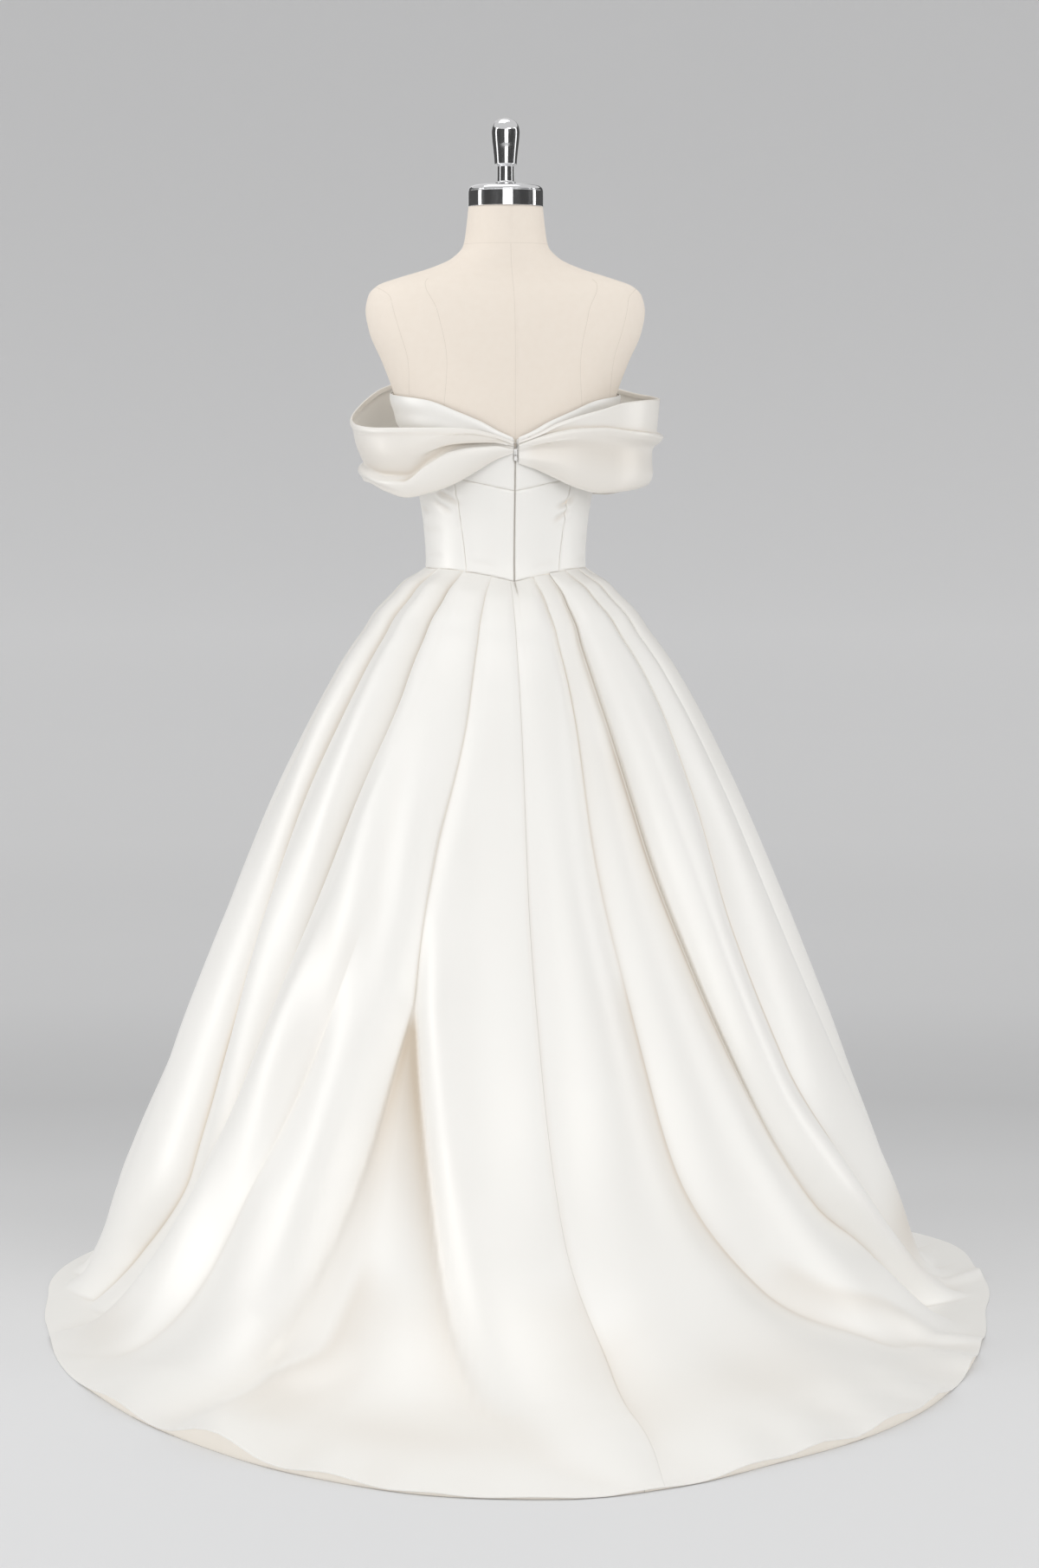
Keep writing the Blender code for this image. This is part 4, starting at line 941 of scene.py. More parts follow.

# %% [markdown]
# ## The swags round the arms
# Each swag is a wide bias strip with its edges turned under, laid in two long folds, caught at the
# centre back and the centre front. It leaves the body where the arm would be. A cloth simulation
# would let it drop on an arm that isn't there, so its folds are placed one by one: a table gives the
# path and the height of every fold at each angle, and a second one its section from top to bottom.

# %% Tables of the swags
# How far a swag stands off the body, the heights of its edges and folds, and how much of the arm's
# section it has, at each angle.
SWAG_NAMES = ("angle", "stand_off", "top_z", "upper_z", "lower_z", "bottom_z", "arm")
SWAG_LEFT = (
    (2, 0.0052, 1.1635, 1.1610, 1.1565, 1.1490, 0.0), (15, 0.0085, 1.1730, 1.1700, 1.1625, 1.1390, 0.0),
    (27, 0.0130, 1.1795, 1.1745, 1.1630, 1.1240, 0.0), (40, 0.0200, 1.1825, 1.1765, 1.1570, 1.1060, 0.0),
    (52, 0.0300, 1.1830, 1.1765, 1.1380, 1.0940, 0.1), (62, 0.0410, 1.1830, 1.1760, 1.1175, 1.0880, 0.35),
    (72, 0.0520, 1.1830, 1.1760, 1.1190, 1.0960, 0.7), (85, 0.0610, 1.1875, 1.1800, 1.1290, 1.1080, 1.0),
    (97, 0.0640, 1.1980, 1.1890, 1.1370, 1.1100, 1.0), (110, 0.0610, 1.2170, 1.2050, 1.1440, 1.1060, 0.8),
    (122, 0.0500, 1.2400, 1.2250, 1.1500, 1.0980, 0.4), (135, 0.0340, 1.2510, 1.2370, 1.1540, 1.0960, 0.1),
    (150, 0.0170, 1.2520, 1.2390, 1.1600, 1.1020, 0.0), (165, 0.0100, 1.2400, 1.2300, 1.1650, 1.1200, 0.0),
    (178, 0.0052, 1.2220, 1.2150, 1.1700, 1.1380, 0.0),
)
SWAG_RIGHT = (
    (2, 0.0052, 1.1640, 1.1600, 1.1500, 1.1350, 0.0), (15, 0.0085, 1.1745, 1.1700, 1.1540, 1.1265, 0.0),
    (27, 0.0130, 1.1880, 1.1775, 1.1560, 1.1150, 0.0), (40, 0.0205, 1.1990, 1.1820, 1.1550, 1.1010, 0.1),
    (52, 0.0310, 1.2085, 1.1830, 1.1500, 1.0940, 0.3), (62, 0.0440, 1.2180, 1.1790, 1.1450, 1.0955, 0.6),
    (72, 0.0560, 1.2215, 1.1760, 1.1420, 1.0990, 0.9), (85, 0.0650, 1.2235, 1.1730, 1.1400, 1.1040, 1.0),
    (97, 0.0660, 1.2270, 1.1780, 1.1430, 1.1030, 1.0), (110, 0.0600, 1.2330, 1.1900, 1.1480, 1.0960, 0.8),
    (122, 0.0490, 1.2430, 1.2030, 1.1520, 1.0900, 0.4), (135, 0.0330, 1.2510, 1.2100, 1.1560, 1.0920, 0.1),
    (150, 0.0170, 1.2520, 1.2120, 1.1600, 1.1010, 0.0), (165, 0.0100, 1.2400, 1.2050, 1.1650, 1.1200, 0.0),
    (178, 0.0052, 1.2220, 1.1980, 1.1700, 1.1380, 0.0),
)
# Columns: what a line of the section hangs from, how far above it, how far out on the back, and on
# the arm.
SECTION_LEFT = (
    ("top_z", -0.0060, -0.0040, 0.0060), ("top_z", -0.0015, -0.0034, 0.0070),
    ("top_z", 0.0000, -0.0018, 0.0086), ("top_z", -0.0010, -0.0002, 0.0098),
    ("top_z", -0.0045, 0.0012, 0.0100), ("upper_z", -0.0040, 0.0028, 0.0070),
    ("middle", 0.0060, 0.0058, 0.0044), ("middle", -0.0080, 0.0046, 0.0010),
    ("lower_z", 0.0070, -0.0004, -0.0040), ("lower_z", 0.0010, -0.0048, -0.0076),
    ("lower_z", -0.0035, -0.0014, -0.0054), ("lower_z", -0.0085, 0.0044, -0.0010),
    ("low_middle", -0.0020, 0.0040, -0.0020), ("bottom_z", 0.0050, 0.0016, -0.0056),
    ("bottom_z", 0.0008, -0.0004, -0.0082), ("bottom_z", 0.0004, -0.0026, -0.0104),
    ("bottom_z", 0.0050, -0.0040, -0.0110),
)
SECTION_RIGHT = (
    ("top_z", -0.0060, -0.0040, 0.0055), ("top_z", -0.0015, -0.0034, 0.0062),
    ("top_z", 0.0000, -0.0018, 0.0076), ("top_z", -0.0010, -0.0004, 0.0086),
    ("top_z", -0.0045, 0.0005, 0.0085), ("upper_z", 0.0060, -0.0010, 0.0040),
    ("upper_z", 0.0016, -0.0014, 0.0040), ("upper_z", 0.0004, 0.0014, 0.0100),
    ("upper_z", -0.0030, 0.0044, 0.0130), ("upper_z", -0.0100, 0.0058, 0.0096),
    ("middle", -0.0020, 0.0060, 0.0000), ("lower_z", 0.0, 0.0015, -0.0015),
    ("low_middle", 0.0, 0.0045, -0.0010), ("bottom_z", 0.0060, 0.0024, -0.0036),
    ("bottom_z", 0.0008, 0.0000, -0.0074), ("bottom_z", 0.0004, -0.0024, -0.0100),
    ("bottom_z", 0.0050, -0.0040, -0.0106),
)
# Shade painted along a swag: at which line of its section, over how many lines, how dark, and from
# and to which angle.
SWAG_SHADES = {
    "left": ((8.7, 0.9, 0.38, 6, 100), (6.9, 1.8, 0.16, 4, 110),
             (13.6, 1.2, 0.14, 4, 90), (4.6, 0.5, 0.10, 4, 90)),
    "right": ((6.2, 0.8, 0.30, 6, 100), (11.0, 1.2, 0.22, 4, 90),
              (9.0, 1.2, 0.08, 4, 90), (13.4, 1.0, 0.14, 4, 90)),
}
# Shade painted on a swag for the half dark of its own folds: how much at least, how much its hollows add,
# and the most.
SWAG_LEAST_SHADE = 0.15
SWAG_HOLLOW_GAIN = 0.8
DARKEST_SWAG = 0.8
SWAG_THICKNESS = 0.0009
SWAG_ROWS = 96
SWAG_COLUMNS = 180
SWAG_BEGIN, SWAG_TURN = 2.0, 176.0


# %% Work out and make the swags
def swag_grid(table, section, side, degrees):
    """Work out a swag's outer face: a row for each line of its section, a column for each angle."""
    read = {name: smooth_read(table, index, degrees) for index, name in enumerate(SWAG_NAMES)}
    read["middle"] = (read["upper_z"] + read["lower_z"]) / 2
    read["low_middle"] = (read["lower_z"] + read["bottom_z"]) / 2
    angle = side * np.radians(degrees)
    drop = read["top_z"] - read["bottom_z"]
    fullness = np.clip(drop / 0.060, 0.25, 1.0)
    level_path = bodice_radius(angle, 0 * angle + LOOP_Z)
    leaving = smooth_step((read["stand_off"] - 0.005) / 0.015)
    lines = []
    for base, above, out_back, out_arm in section:
        height = read[base] + above * fullness
        out = (out_back + (out_arm - out_back) * read["arm"]) * fullness
        body = bodice_radius(angle, height)
        path = body + (level_path - body) * leaving + read["stand_off"]
        least = body + BAND_GAP + SOLID_CLOTH + band_puff(degrees) + SWAG_GAP + SATIN
        lines.append(spot(np.maximum(path + out, least), angle, height))
    return np.stack(lines)


def long_waves(grid, degrees, seed):
    """Give small ripples that fan out from the centre back, as gathered satin has."""
    random = np.random.default_rng(seed)
    share = np.linspace(0, 1, grid.shape[0])[:, None]
    total = np.zeros(grid.shape[:2])
    for count in (3.0, 5.5, 9.0, 13.0):
        shift = random.uniform(0, 2 * math.pi)
        drift = random.uniform(-1.2, 1.2)
        height = 0.0013 / count ** 0.45
        fade = np.exp(-(degrees / random.uniform(35, 95)))
        fade = fade + 0.35 * hump(degrees, random.uniform(60, 130), 40)
        fade = fade + 0.6 * np.exp(-((SWAG_BEGIN + SWAG_TURN - degrees) / 30))
        total += height * fade * np.sin(count * math.pi * share + shift + drift * degrees / 60)
    return total * np.sin(math.pi * share) ** 0.5


swags = []
for label, side, table, section, seed in (("left", 1, SWAG_LEFT, SECTION_LEFT, 4),
                                          ("right", -1, SWAG_RIGHT, SECTION_RIGHT, 9)):
    degrees = SWAG_BEGIN + SWAG_TURN * np.linspace(0, 1, SWAG_COLUMNS) ** 1.12
    grid = refine(swag_grid(table, section, side, degrees), SWAG_ROWS, 0)
    normal = side * -grid_directions(grid)
    radial = grid / np.linalg.norm(grid, axis=-1, keepdims=True)
    if np.sum(normal[30:66] * radial[30:66]) < 0:
        normal = -normal
    grid = grid + normal * long_waves(grid, degrees, seed)[..., None]
    rippled = -grid_directions(grid)
    normal = np.sign(np.sum(normal * rippled, axis=-1, keepdims=True)) * rippled
    # Painted shade: a little everywhere, more in the hollows of the cloth and along some lines of the
    # section.
    shade = SWAG_LEAST_SHADE + SWAG_HOLLOW_GAIN * hollowness(grid, normal)
    line = np.linspace(0, len(section) - 1, SWAG_ROWS)[:, None]
    for where, half_width, dark, begin, end in SWAG_SHADES[label]:
        reach = smooth_step((degrees - begin) / 12) * smooth_step((end - degrees) / 30)
        shade += dark * hump(line, where, half_width) * reach
    swag = shell("arm_swag_" + label, grid, normal, thickness=SWAG_THICKNESS,
                 painted_shade=np.clip(shade, 0.0, DARKEST_SWAG))
    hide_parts("swag_" + label)
    swags.append(swag)
print("swags", [len(swag.data.polygons) for swag in swags])

# %% [markdown]
# ## The skirt
# The skirt's pieces are pleated into the waist seam. Under each pleat the cloth is held back, and
# a valley runs down to the floor; between two valleys it swells into a pipe. The skirt without
# folds is worked out first: it falls steeply from the waist, turns at the floor and lies down as
# the train. The folds are then pressed into it. Where a pleat is sharp, its lip leans over the
# valley and hides it, and that dark line is what the eye follows.

# %% Tables of the skirt
# Where the fallen cloth meets the floor: at the sides, and how much further at the back and front.
SKIRT_HALF_WIDTH = 0.58
SKIRT_BACK_MORE = 0.10
SKIRT_FRONT_MORE = 0.02
# Share of the way down, share of the way out.
FALL = (
    (0.0, 0.0), (0.018, 0.054), (0.042, 0.101), (0.067, 0.151), (0.091, 0.183), (0.115, 0.219),
    (0.139, 0.252), (0.164, 0.282), (0.188, 0.310), (0.236, 0.361), (0.333, 0.456), (0.430, 0.542),
    (0.527, 0.624), (0.624, 0.703), (0.721, 0.776), (0.794, 0.837), (0.867, 0.899), (1.0, 1.0),
)
# Angle, how far from the axis the hem lies.
HEM = (
    (-180, 0.620), (-140, 0.660), (-107, 0.700), (-87, 0.665), (-69, 0.668), (-51, 0.726), (-36, 0.828),
    (-24, 0.941), (-16, 1.020), (-8.8, 1.086), (-2.2, 1.160), (4.4, 1.202), (9.6, 1.195), (19, 1.122),
    (29, 1.005), (46, 0.833), (72, 0.670), (91, 0.630), (120, 0.631), (150, 0.620), (180, 0.620),
)
# A fold wanders: its angle is given at each of these shares of the way down. Then come its depth,
# how many degrees it reaches on the side of growing angles and on the other, the share where it
# starts, how far its lip laps over it (below zero towards smaller angles), and to which share.
FOLD_SHARES = (0.0, 0.15, 0.30, 0.45, 0.60, 0.75, 0.88, 1.0)
FOLDS = (
    ((180, 181, 181, 182, 182, 181, 180, 179), 0.024, 5, 6, 0.0, 0.006, 0.30),
    ((162, 162, 163, 163, 163, 163, 164, 164), 0.028, 6, 4, 0.0, 0.008, 0.50),
    ((145, 145, 145, 146, 146, 147, 147, 148), 0.022, 4, 6, 0.0, 0.006, 0.20),
    ((126, 127, 128, 128, 129, 130, 131, 132), 0.030, 6, 4, 0.0, 0.010, 0.60),
    ((107, 109, 110, 111, 112, 113, 115, 118), 0.024, 5, 5, 0.0, 0.006, 0.25),
    ((88, 89, 91, 92, 92, 91, 96, 102), 0.022, 6, 4, 0.0, 0.006, 0.15),
    ((66, 67, 70, 71, 69.5, 69, 77, 87), 0.034, 5, 5, 0.0, 0.009, 0.30),
    ((41.5, 41.5, 47.5, 51.3, 56.3, 61.5, 68, 74), 0.046, 8, 3, 0.0, 0.011, 0.80),
    ((31, 30, 31.5, 36, 41.5, 47, 51, 54), 0.020, 5, 5, 0.36, 0.0, 0.0),
    ((19.5, 18.2, 21.8, 22.9, 22.3, 20.8, 18.5, 16.5), 0.036, 3, 3, 0.0, -0.002, 0.70),
    ((3.5, 3.2, 3.3, 2.4, 0.7, -1.8, -2.0, -1.2), 0.006, 2, 2, 0.0, 0.0, 0.0),
    ((-16.5, -14.3, -11.8, -13.7, -16.2, -24, -37, -48), 0.034, 4, 6, 0.0, 0.003, 0.12),
    ((-31.5, -25.5, -26, -29.4, -34.5, -42.5, -58, -70), 0.044, 7, 3, 0.0, 0.0065, 0.55),
    ((-47, -49, -46.5, -42.5, -44.5, -54, -68, -82), 0.026, 4, 6, 0.0, 0.004, 0.15),
    ((-63, -66, -67, -66, -68, -75, -84, -95), 0.024, 5, 5, 0.0, 0.004, 0.20),
    ((-80, -84, -86, -87, -89, -93, -99, -107), 0.022, 4, 6, 0.0, 0.006, 0.20),
    ((-98, -101, -104, -106, -108, -111, -115, -121), 0.028, 6, 5, 0.0, 0.009, 0.45),
    ((-116, -119, -122, -124, -126, -128, -132, -137), 0.024, 5, 5, 0.0, 0.006, 0.25),
    ((-135, -137, -140, -142, -143, -145, -148, -152), 0.030, 4, 6, 0.0, 0.009, 0.50),
    ((-157, -158, -160, -161, -161, -163, -165, -167), 0.022, 6, 5, 0.0, 0.007, 0.30),
)
# One fold opens like a tent towards the floor: its number, the share where it begins to open, by how
# many degrees half of it would widen over the whole way down, and the most that this half gets.
POCKET_FOLD = 9
POCKET_START = 0.43
POCKET_OPENING = 34.0
POCKET_LIMIT = 12.0
# The centre-back seam is the valley with this number.
CENTRE_BACK = 10
# How deep all folds are at each share of the way down.
DEPTH_SHARES = ((0.0, 0.08), (0.02, 0.20), (0.06, 0.36), (0.15, 0.58), (0.30, 0.80), (0.45, 0.95),
                (0.60, 1.0), (0.75, 1.0), (0.88, 0.85), (1.0, 0.60))
# Angle, half width in degrees, height.
HEM_WAVES = (
    (39.6, 5.0, 0.008), (26.3, 3.6, 0.022), (17.6, 2.6, 0.009), (11.5, 2.0, 0.004), (5.9, 2.4, 0.003),
    (-0.3, 2.0, 0.003), (-7.2, 2.5, 0.008), (-12.9, 2.2, 0.008), (-20.0, 2.6, 0.011), (-28.0, 2.5, 0.009),
    (-40.0, 3.0, 0.010),
)
# Ridges of the train where it lies on the floor: angle at each share, height, half width in metres,
# and the shares between which it stands.
RIDGES = (
    (((0.69, -21.6), (0.74, -26.7), (0.806, -33.0), (0.883, -43.5), (1.0, -49.0)), 0.011, 0.026, 0.74, 0.99),
    (((0.86, -62), (0.90, -68), (1.0, -87)), 0.012, 0.026, 0.86, 0.99),
    (((0.66, 24.0), (0.72, 25.4), (0.76, 26.0), (0.832, 29.6), (1.0, 28.9)), 0.012, 0.030, 0.66, 0.97),
)
# Where shade is painted on the cloth beside the folds. For each fold: its number, the side that lies in
# shade, the width of the soft shade in metres, its darkness, the darkness of the crisp line, and the
# shares from and to which it runs.
FOLD_SHADES = (
    (6, 1, 0.014, 0.22, 0.34, 0.0, 1.0), (7, 1, 0.017, 0.22, 0.42, 0.0, 0.95),
    (8, 1, 0.040, 0.08, 0.0, 0.4, 0.7), (9, 1, 0.010, 0.06, 0.10, 0.0, 0.46),
    (10, 1, 0.060, 0.18, 0.0, 0.64, 0.86), (10, -1, 0.045, 0.20, 0.0, 0.70, 0.97),
    (11, 1, 0.005, 0.08, 0.24, 0.0, 0.16), (11, -1, 0.014, 0.10, 0.08, 0.10, 0.44),
    (11, 1, 0.026, 0.30, 0.10, 0.42, 0.84), (12, 1, 0.020, 0.12, 0.16, 0.0, 0.9),
    (12, 1, 0.030, 0.20, 0.16, 0.20, 0.64), (13, 1, 0.014, 0.18, 0.24, 0.0, 0.90),
    (14, 1, 0.020, 0.20, 0.20, 0.0, 1.0), (0, 1, 0.025, 0.2, 0.2, 0.0, 1.0),
    (1, 1, 0.025, 0.25, 0.3, 0.0, 1.0), (2, 1, 0.025, 0.2, 0.2, 0.0, 1.0),
    (3, 1, 0.030, 0.3, 0.3, 0.0, 1.0), (4, 1, 0.025, 0.2, 0.2, 0.0, 1.0),
    (5, 1, 0.025, 0.2, 0.2, 0.0, 1.0), (15, 1, 0.025, 0.2, 0.2, 0.0, 1.0),
    (16, 1, 0.030, 0.3, 0.3, 0.0, 1.0), (17, 1, 0.025, 0.2, 0.2, 0.0, 1.0),
    (18, 1, 0.030, 0.3, 0.3, 0.0, 1.0), (19, 1, 0.025, 0.2, 0.2, 0.0, 1.0),
)
# The same beside the train's ridges.
RIDGE_SHADES = (
    (0, 1, 0.034, 0.24, 0.0, 0.74, 0.98), (1, 1, 0.030, 0.18, 0.0, 0.86, 1.0),
    (2, -1, 0.060, 0.26, 0.0, 0.66, 1.0),
)
# Broad painted shade in the train's hollows: angle, share, half the angle, half the share, darkness.
SHADE_PATCHES = (
    (-15.5, 0.843, 9.0, 0.07, 0.14), (15.4, 0.85, 8.0, 0.06, 0.18), (-72.0, 0.86, 7.0, 0.05, 0.40),
    (62.0, 0.93, 9.0, 0.04, 0.16),
)

# %% [markdown]
# ### The skirt without folds
# One line down the cloth, from the waist to the hem, is made of three stretches: the fall, a bend
# where it meets the floor, and what lies on it. Even steps along that line keep the cloth from
# stretching.


# %% Work out the skirt without folds
# The bend begins this far above the floor at the sides, and this much higher at the back.
TOE_HEIGHT, TOE_BACK_MORE = 0.08, 0.20
# It ends this far out from where the cloth meets the floor, and at most this much further.
TOE_REACH_LEAST, TOE_REACH_MORE = 0.01, 0.22
# Degrees from one line to the next.
BARE_STEP = 2.0


def bare_line(degrees, count=240):
    """Give one line down the skirt: radius and height at even steps along the cloth."""
    angle = math.radians(degrees)
    back = max(math.cos(angle), 0.0)
    front = max(-math.cos(angle), 0.0)
    waist_z = float(edge_height("waist_z", angle)) - SEAM_GAP / 2
    waist = float(bodice_radius(np.array(angle), np.array(waist_z)))
    contact = SKIRT_HALF_WIDTH + SKIRT_BACK_MORE * back ** 2 + SKIRT_FRONT_MORE * front ** 2
    reach = float(smooth_read(HEM, 1, degrees))
    toe_height = TOE_HEIGHT + TOE_BACK_MORE * back ** 2
    toe_reach = TOE_REACH_LEAST + min(max(0.5 * (reach - contact), 0.0), TOE_REACH_MORE)
    fallen = np.linspace(0.0, 1.0, 200)
    radius = waist + (contact - waist) * smooth_read(FALL, 1, fallen)
    height = WAIST_Z * (1 - fallen)
    above = height > toe_height
    toe_radius = np.interp(1 - toe_height / WAIST_Z, fallen, radius)
    share = np.linspace(0.0, 1.0, 50)
    bend_r = (1 - share) ** 2 * toe_radius + 2 * share * (1 - share) * contact
    bend_r += share ** 2 * (contact + toe_reach)
    bend_z = (1 - share) ** 2 * toe_height
    lying = np.linspace(contact + toe_reach, max(reach, contact + toe_reach + 0.002), 50)[1:]
    all_r = np.concatenate((radius[above], bend_r, lying))
    all_z = np.concatenate((height[above], bend_z, 0 * lying))
    all_z = SOLID_CLOTH + (waist_z - SOLID_CLOTH) * all_z / WAIST_Z
    length = np.concatenate(([0.0], np.cumsum(np.hypot(np.diff(all_r), np.diff(all_z)))))
    even = np.linspace(0.0, length[-1], count)
    return np.interp(even, length, all_r), np.interp(even, length, all_z), length[-1]


bare_degrees = np.arange(-180.0, 180.0 + BARE_STEP, BARE_STEP)
bare_lines = [bare_line(value) for value in bare_degrees]
bare_radii = np.array([line[0] for line in bare_lines])
bare_heights = np.array([line[1] for line in bare_lines])
print("cloth from waist to hem at the centre back", round(bare_lines[len(bare_lines) // 2][2], 3))


def read_bare(degrees, share):
    """Read radius and height of the skirt without folds."""
    turned_by = (degrees + 180.0) % 360.0 - 180.0
    column = np.clip((turned_by - bare_degrees[0]) / BARE_STEP, 0, len(bare_degrees) - 1.001)
    row = np.clip(share * (bare_radii.shape[1] - 1), 0, bare_radii.shape[1] - 1.001)
    left, low = column.astype(int), row.astype(int)
    part_c, part_r = column - left, row - low
    found = []
    for values in (bare_radii, bare_heights):
        near = values[left, low] * (1 - part_r) + values[left, low + 1] * part_r
        far = values[left + 1, low] * (1 - part_r) + values[left + 1, low + 1] * part_r
        found.append(near * (1 - part_c) + far * part_c)
    return found


# %% [markdown]
# ### Folds, laps and floor ridges
# A fold is a trough with one gentle side and one steep side. A lap moves the steep side's crest
# across the trough, so that the cloth really doubles over. On the floor the troughs flatten, and
# low ridges and a wavy hem take over.


# %% Work out the folds
def fold_angle(index, share):
    """Give a fold's angle in degrees at a share of the way down."""
    return smooth_read(list(zip(FOLD_SHARES, FOLDS[index][0])), 1, share)


def turned_from(degrees, centre):
    """Give the signed turn from a centre, between -180 and 180 degrees."""
    return (degrees - centre + 180.0) % 360.0 - 180.0


def pocket_opening(share):
    """Give half the width, in degrees, of the fold that opens like a tent towards the floor."""
    return np.clip((share - POCKET_START) * POCKET_OPENING, 0.0, POCKET_LIMIT)


def fold_depth(degrees, share):
    """Add up how far all the folds push the cloth in."""
    strength = smooth_read(DEPTH_SHARES, 1, share)
    pushed = np.zeros_like(degrees)
    for index, (_, depth, plus_reach, minus_reach, start, _, _) in enumerate(FOLDS):
        away = turned_from(degrees, fold_angle(index, share))
        if index == POCKET_FOLD:
            away = np.sign(away) * np.maximum(np.abs(away) - pocket_opening(share), 0.0)
            depth = depth * (0.40 + 0.60 * smooth_step((share - 0.34) / 0.12))
        reach = np.where(away > 0, plus_reach, minus_reach)
        begun = smooth_step((share - start) / 0.2) if start > 0 else 1.0
        pushed += depth * begun * np.exp(-(np.abs(away) / reach) ** 1.4)
    return pushed * strength


# The width of a lip, and how far it stands off the cloth below for each metre that it laps.
LAP_WIDTH = 0.024
LIP_RISE = 0.30
POCKET_RISE = 0.10


def lap_size(index, share):
    """Give how far, in metres, a fold's lip laps over its valley."""
    lap, end = FOLDS[index][5:]
    return abs(lap) * (0.55 + 0.45 * smooth_step(share / 0.12)) * (1 - smooth_step((share - end) / 0.22))


def lap_shift(degrees, share, radius):
    """Give how far each point moves across (degrees) and out (metres) where a pleat laps over."""
    across = np.zeros_like(degrees)
    out = np.zeros_like(degrees)
    for index, fold in enumerate(FOLDS):
        lap = fold[5]
        if lap == 0.0:
            continue
        away = turned_from(degrees, fold_angle(index, share))
        if index == POCKET_FOLD:
            away = away - pocket_opening(share)
        width = LAP_WIDTH * (0.45 + 0.55 * smooth_step(share / 0.15))
        along = -math.copysign(1.0, lap) * np.radians(away) * radius / width
        size = lap_size(index, share)
        crest = smooth_step(along / 0.25) * (1 - smooth_step((along - 0.25) / 1.0))
        crest = np.where(along > 0, crest, 0.0)
        across += math.copysign(1.0, lap) * np.degrees(size * crest / radius)
        out += (LIP_RISE if lap > 0 else POCKET_RISE) * size * crest
    return across, out


def floor_lift(degrees, share, radius):
    """Give how far the hem's waves and the train's ridges lift the cloth off the floor."""
    lift = np.zeros_like(degrees)
    for centre, half_width, height in HEM_WAVES:
        lift += height * hump(degrees, centre, half_width)
    lift *= smooth_step((share - 0.86) / 0.14)
    for line, height, half_width, begin, end in RIDGES:
        away = np.radians(turned_from(degrees, smooth_read(line, 1, share))) * radius
        stands = smooth_step((share - begin) / 0.10) * smooth_step((end + 0.06 - share) / 0.10)
        lift += height * stands * hump(away, 0.0, half_width)
    return lift


# How high the pipes still stand where they lie on the floor, by the share of the way down, and how
# softly they bend onto it.
FLOOR_RELIEF = ((0.0, 0.008), (0.55, 0.012), (0.72, 0.028), (0.84, 0.026), (0.93, 0.014), (1.0, 0.002))
FLOOR_SOFTNESS, FLOOR_LEAST_SOFTNESS = 0.006, 0.0004
# How far the hem's edge is pressed down.
HEM_PRESSED = 0.0007
# The height of each small wave. Its turns across, turns along, shift and lean come by chance, each
# between two values.
SLACK_HEIGHT = 0.0007
RANDOM = np.random.default_rng(12)
SLACK_RANGES = ((1.5, 5.0), (0.1, 1.0), (0, 6.3), (-0.5, 0.5))
SLACK_WAVES = [[RANDOM.uniform(low, high) for low, high in SLACK_RANGES] for _ in range(14)]


def slack(degrees, share):
    """Give the small uneven swellings that cloth has between its folds."""
    total = np.zeros_like(degrees)
    for across, along, shift, lean in SLACK_WAVES:
        total += np.sin(np.radians(degrees) * across * 6 + share * along * 9 + lean * share * 12 + shift)
    return SLACK_HEIGHT * total * smooth_step(share / 0.3)


def skirt_points(degrees, share):
    """Give the skirt's outer face at an angle and a share of the way from the waist to the hem."""
    step = 0.004
    radius, height = read_bare(degrees, share)
    low_r, low_z = read_bare(degrees, np.clip(share - step, 0, 1))
    high_r, high_z = read_bare(degrees, np.clip(share + step, 0, 1))
    run, drop = high_r - low_r, low_z - high_z
    length = np.hypot(run, drop)
    strength = smooth_read(DEPTH_SHARES, 1, share)
    depth = fold_depth(degrees, share)
    across, out = lap_shift(degrees, share, radius)
    rise = smooth_step(share / 0.04) * run / length
    level = np.sqrt(np.maximum(1 - rise ** 2, 0.0))
    swell = 0.008 * strength * (1 - rise ** 2) + smooth_read(FLOOR_RELIEF, 1, share) * rise ** 2
    push = swell - depth + out + slack(degrees, share)
    radius = radius + push * level
    height = height + push * rise - SOLID_CLOTH
    softness = FLOOR_SOFTNESS * (1 - smooth_step((share - 0.88) / 0.10))
    softness = FLOOR_LEAST_SOFTNESS + softness * smooth_step((share - 0.3) / 0.1)
    height = (height + np.sqrt(height ** 2 + softness ** 2)) / 2
    height = height + floor_lift(degrees, share, radius) * smooth_step((0.06 - height) / 0.05) + SOLID_CLOTH
    height = height - HEM_PRESSED * smooth_step((share - 0.975) / 0.025)
    return spot(radius, np.radians(degrees + across), height)


# %% [markdown]
# ### Shade painted beside the folds
# Light that falls between two folds of ivory satin bounces there and comes out warm and dim. A
# render with few bounces loses that, so the shade is painted as a number on each point of the cloth:
# it starts sharply at the fold's edge and fades away on the side that the lip hides from the light.


# %% Work out the painted shade
# How sharply the shade starts at a fold's edge and at a ridge, and half the width of a crisp line.
FOLD_BLUR, RIDGE_BLUR = 0.0012, 0.022
CRISP_WIDTH = 0.0045


def one_shade(away, width, soft, crisp, share, begin, end, blur=FOLD_BLUR):
    """Give the shade beside one line, from the distance to it in metres."""
    stands = smooth_step((share - begin) / 0.05 + 0.3) * smooth_step((end - share) / 0.14)
    beside = np.maximum(away, 0.0)
    shade = soft * np.exp(-(beside / width) ** 1.3) + crisp * np.exp(-(beside / CRISP_WIDTH) ** 2)
    return stands * shade * smooth_step(away / blur + 1.0)


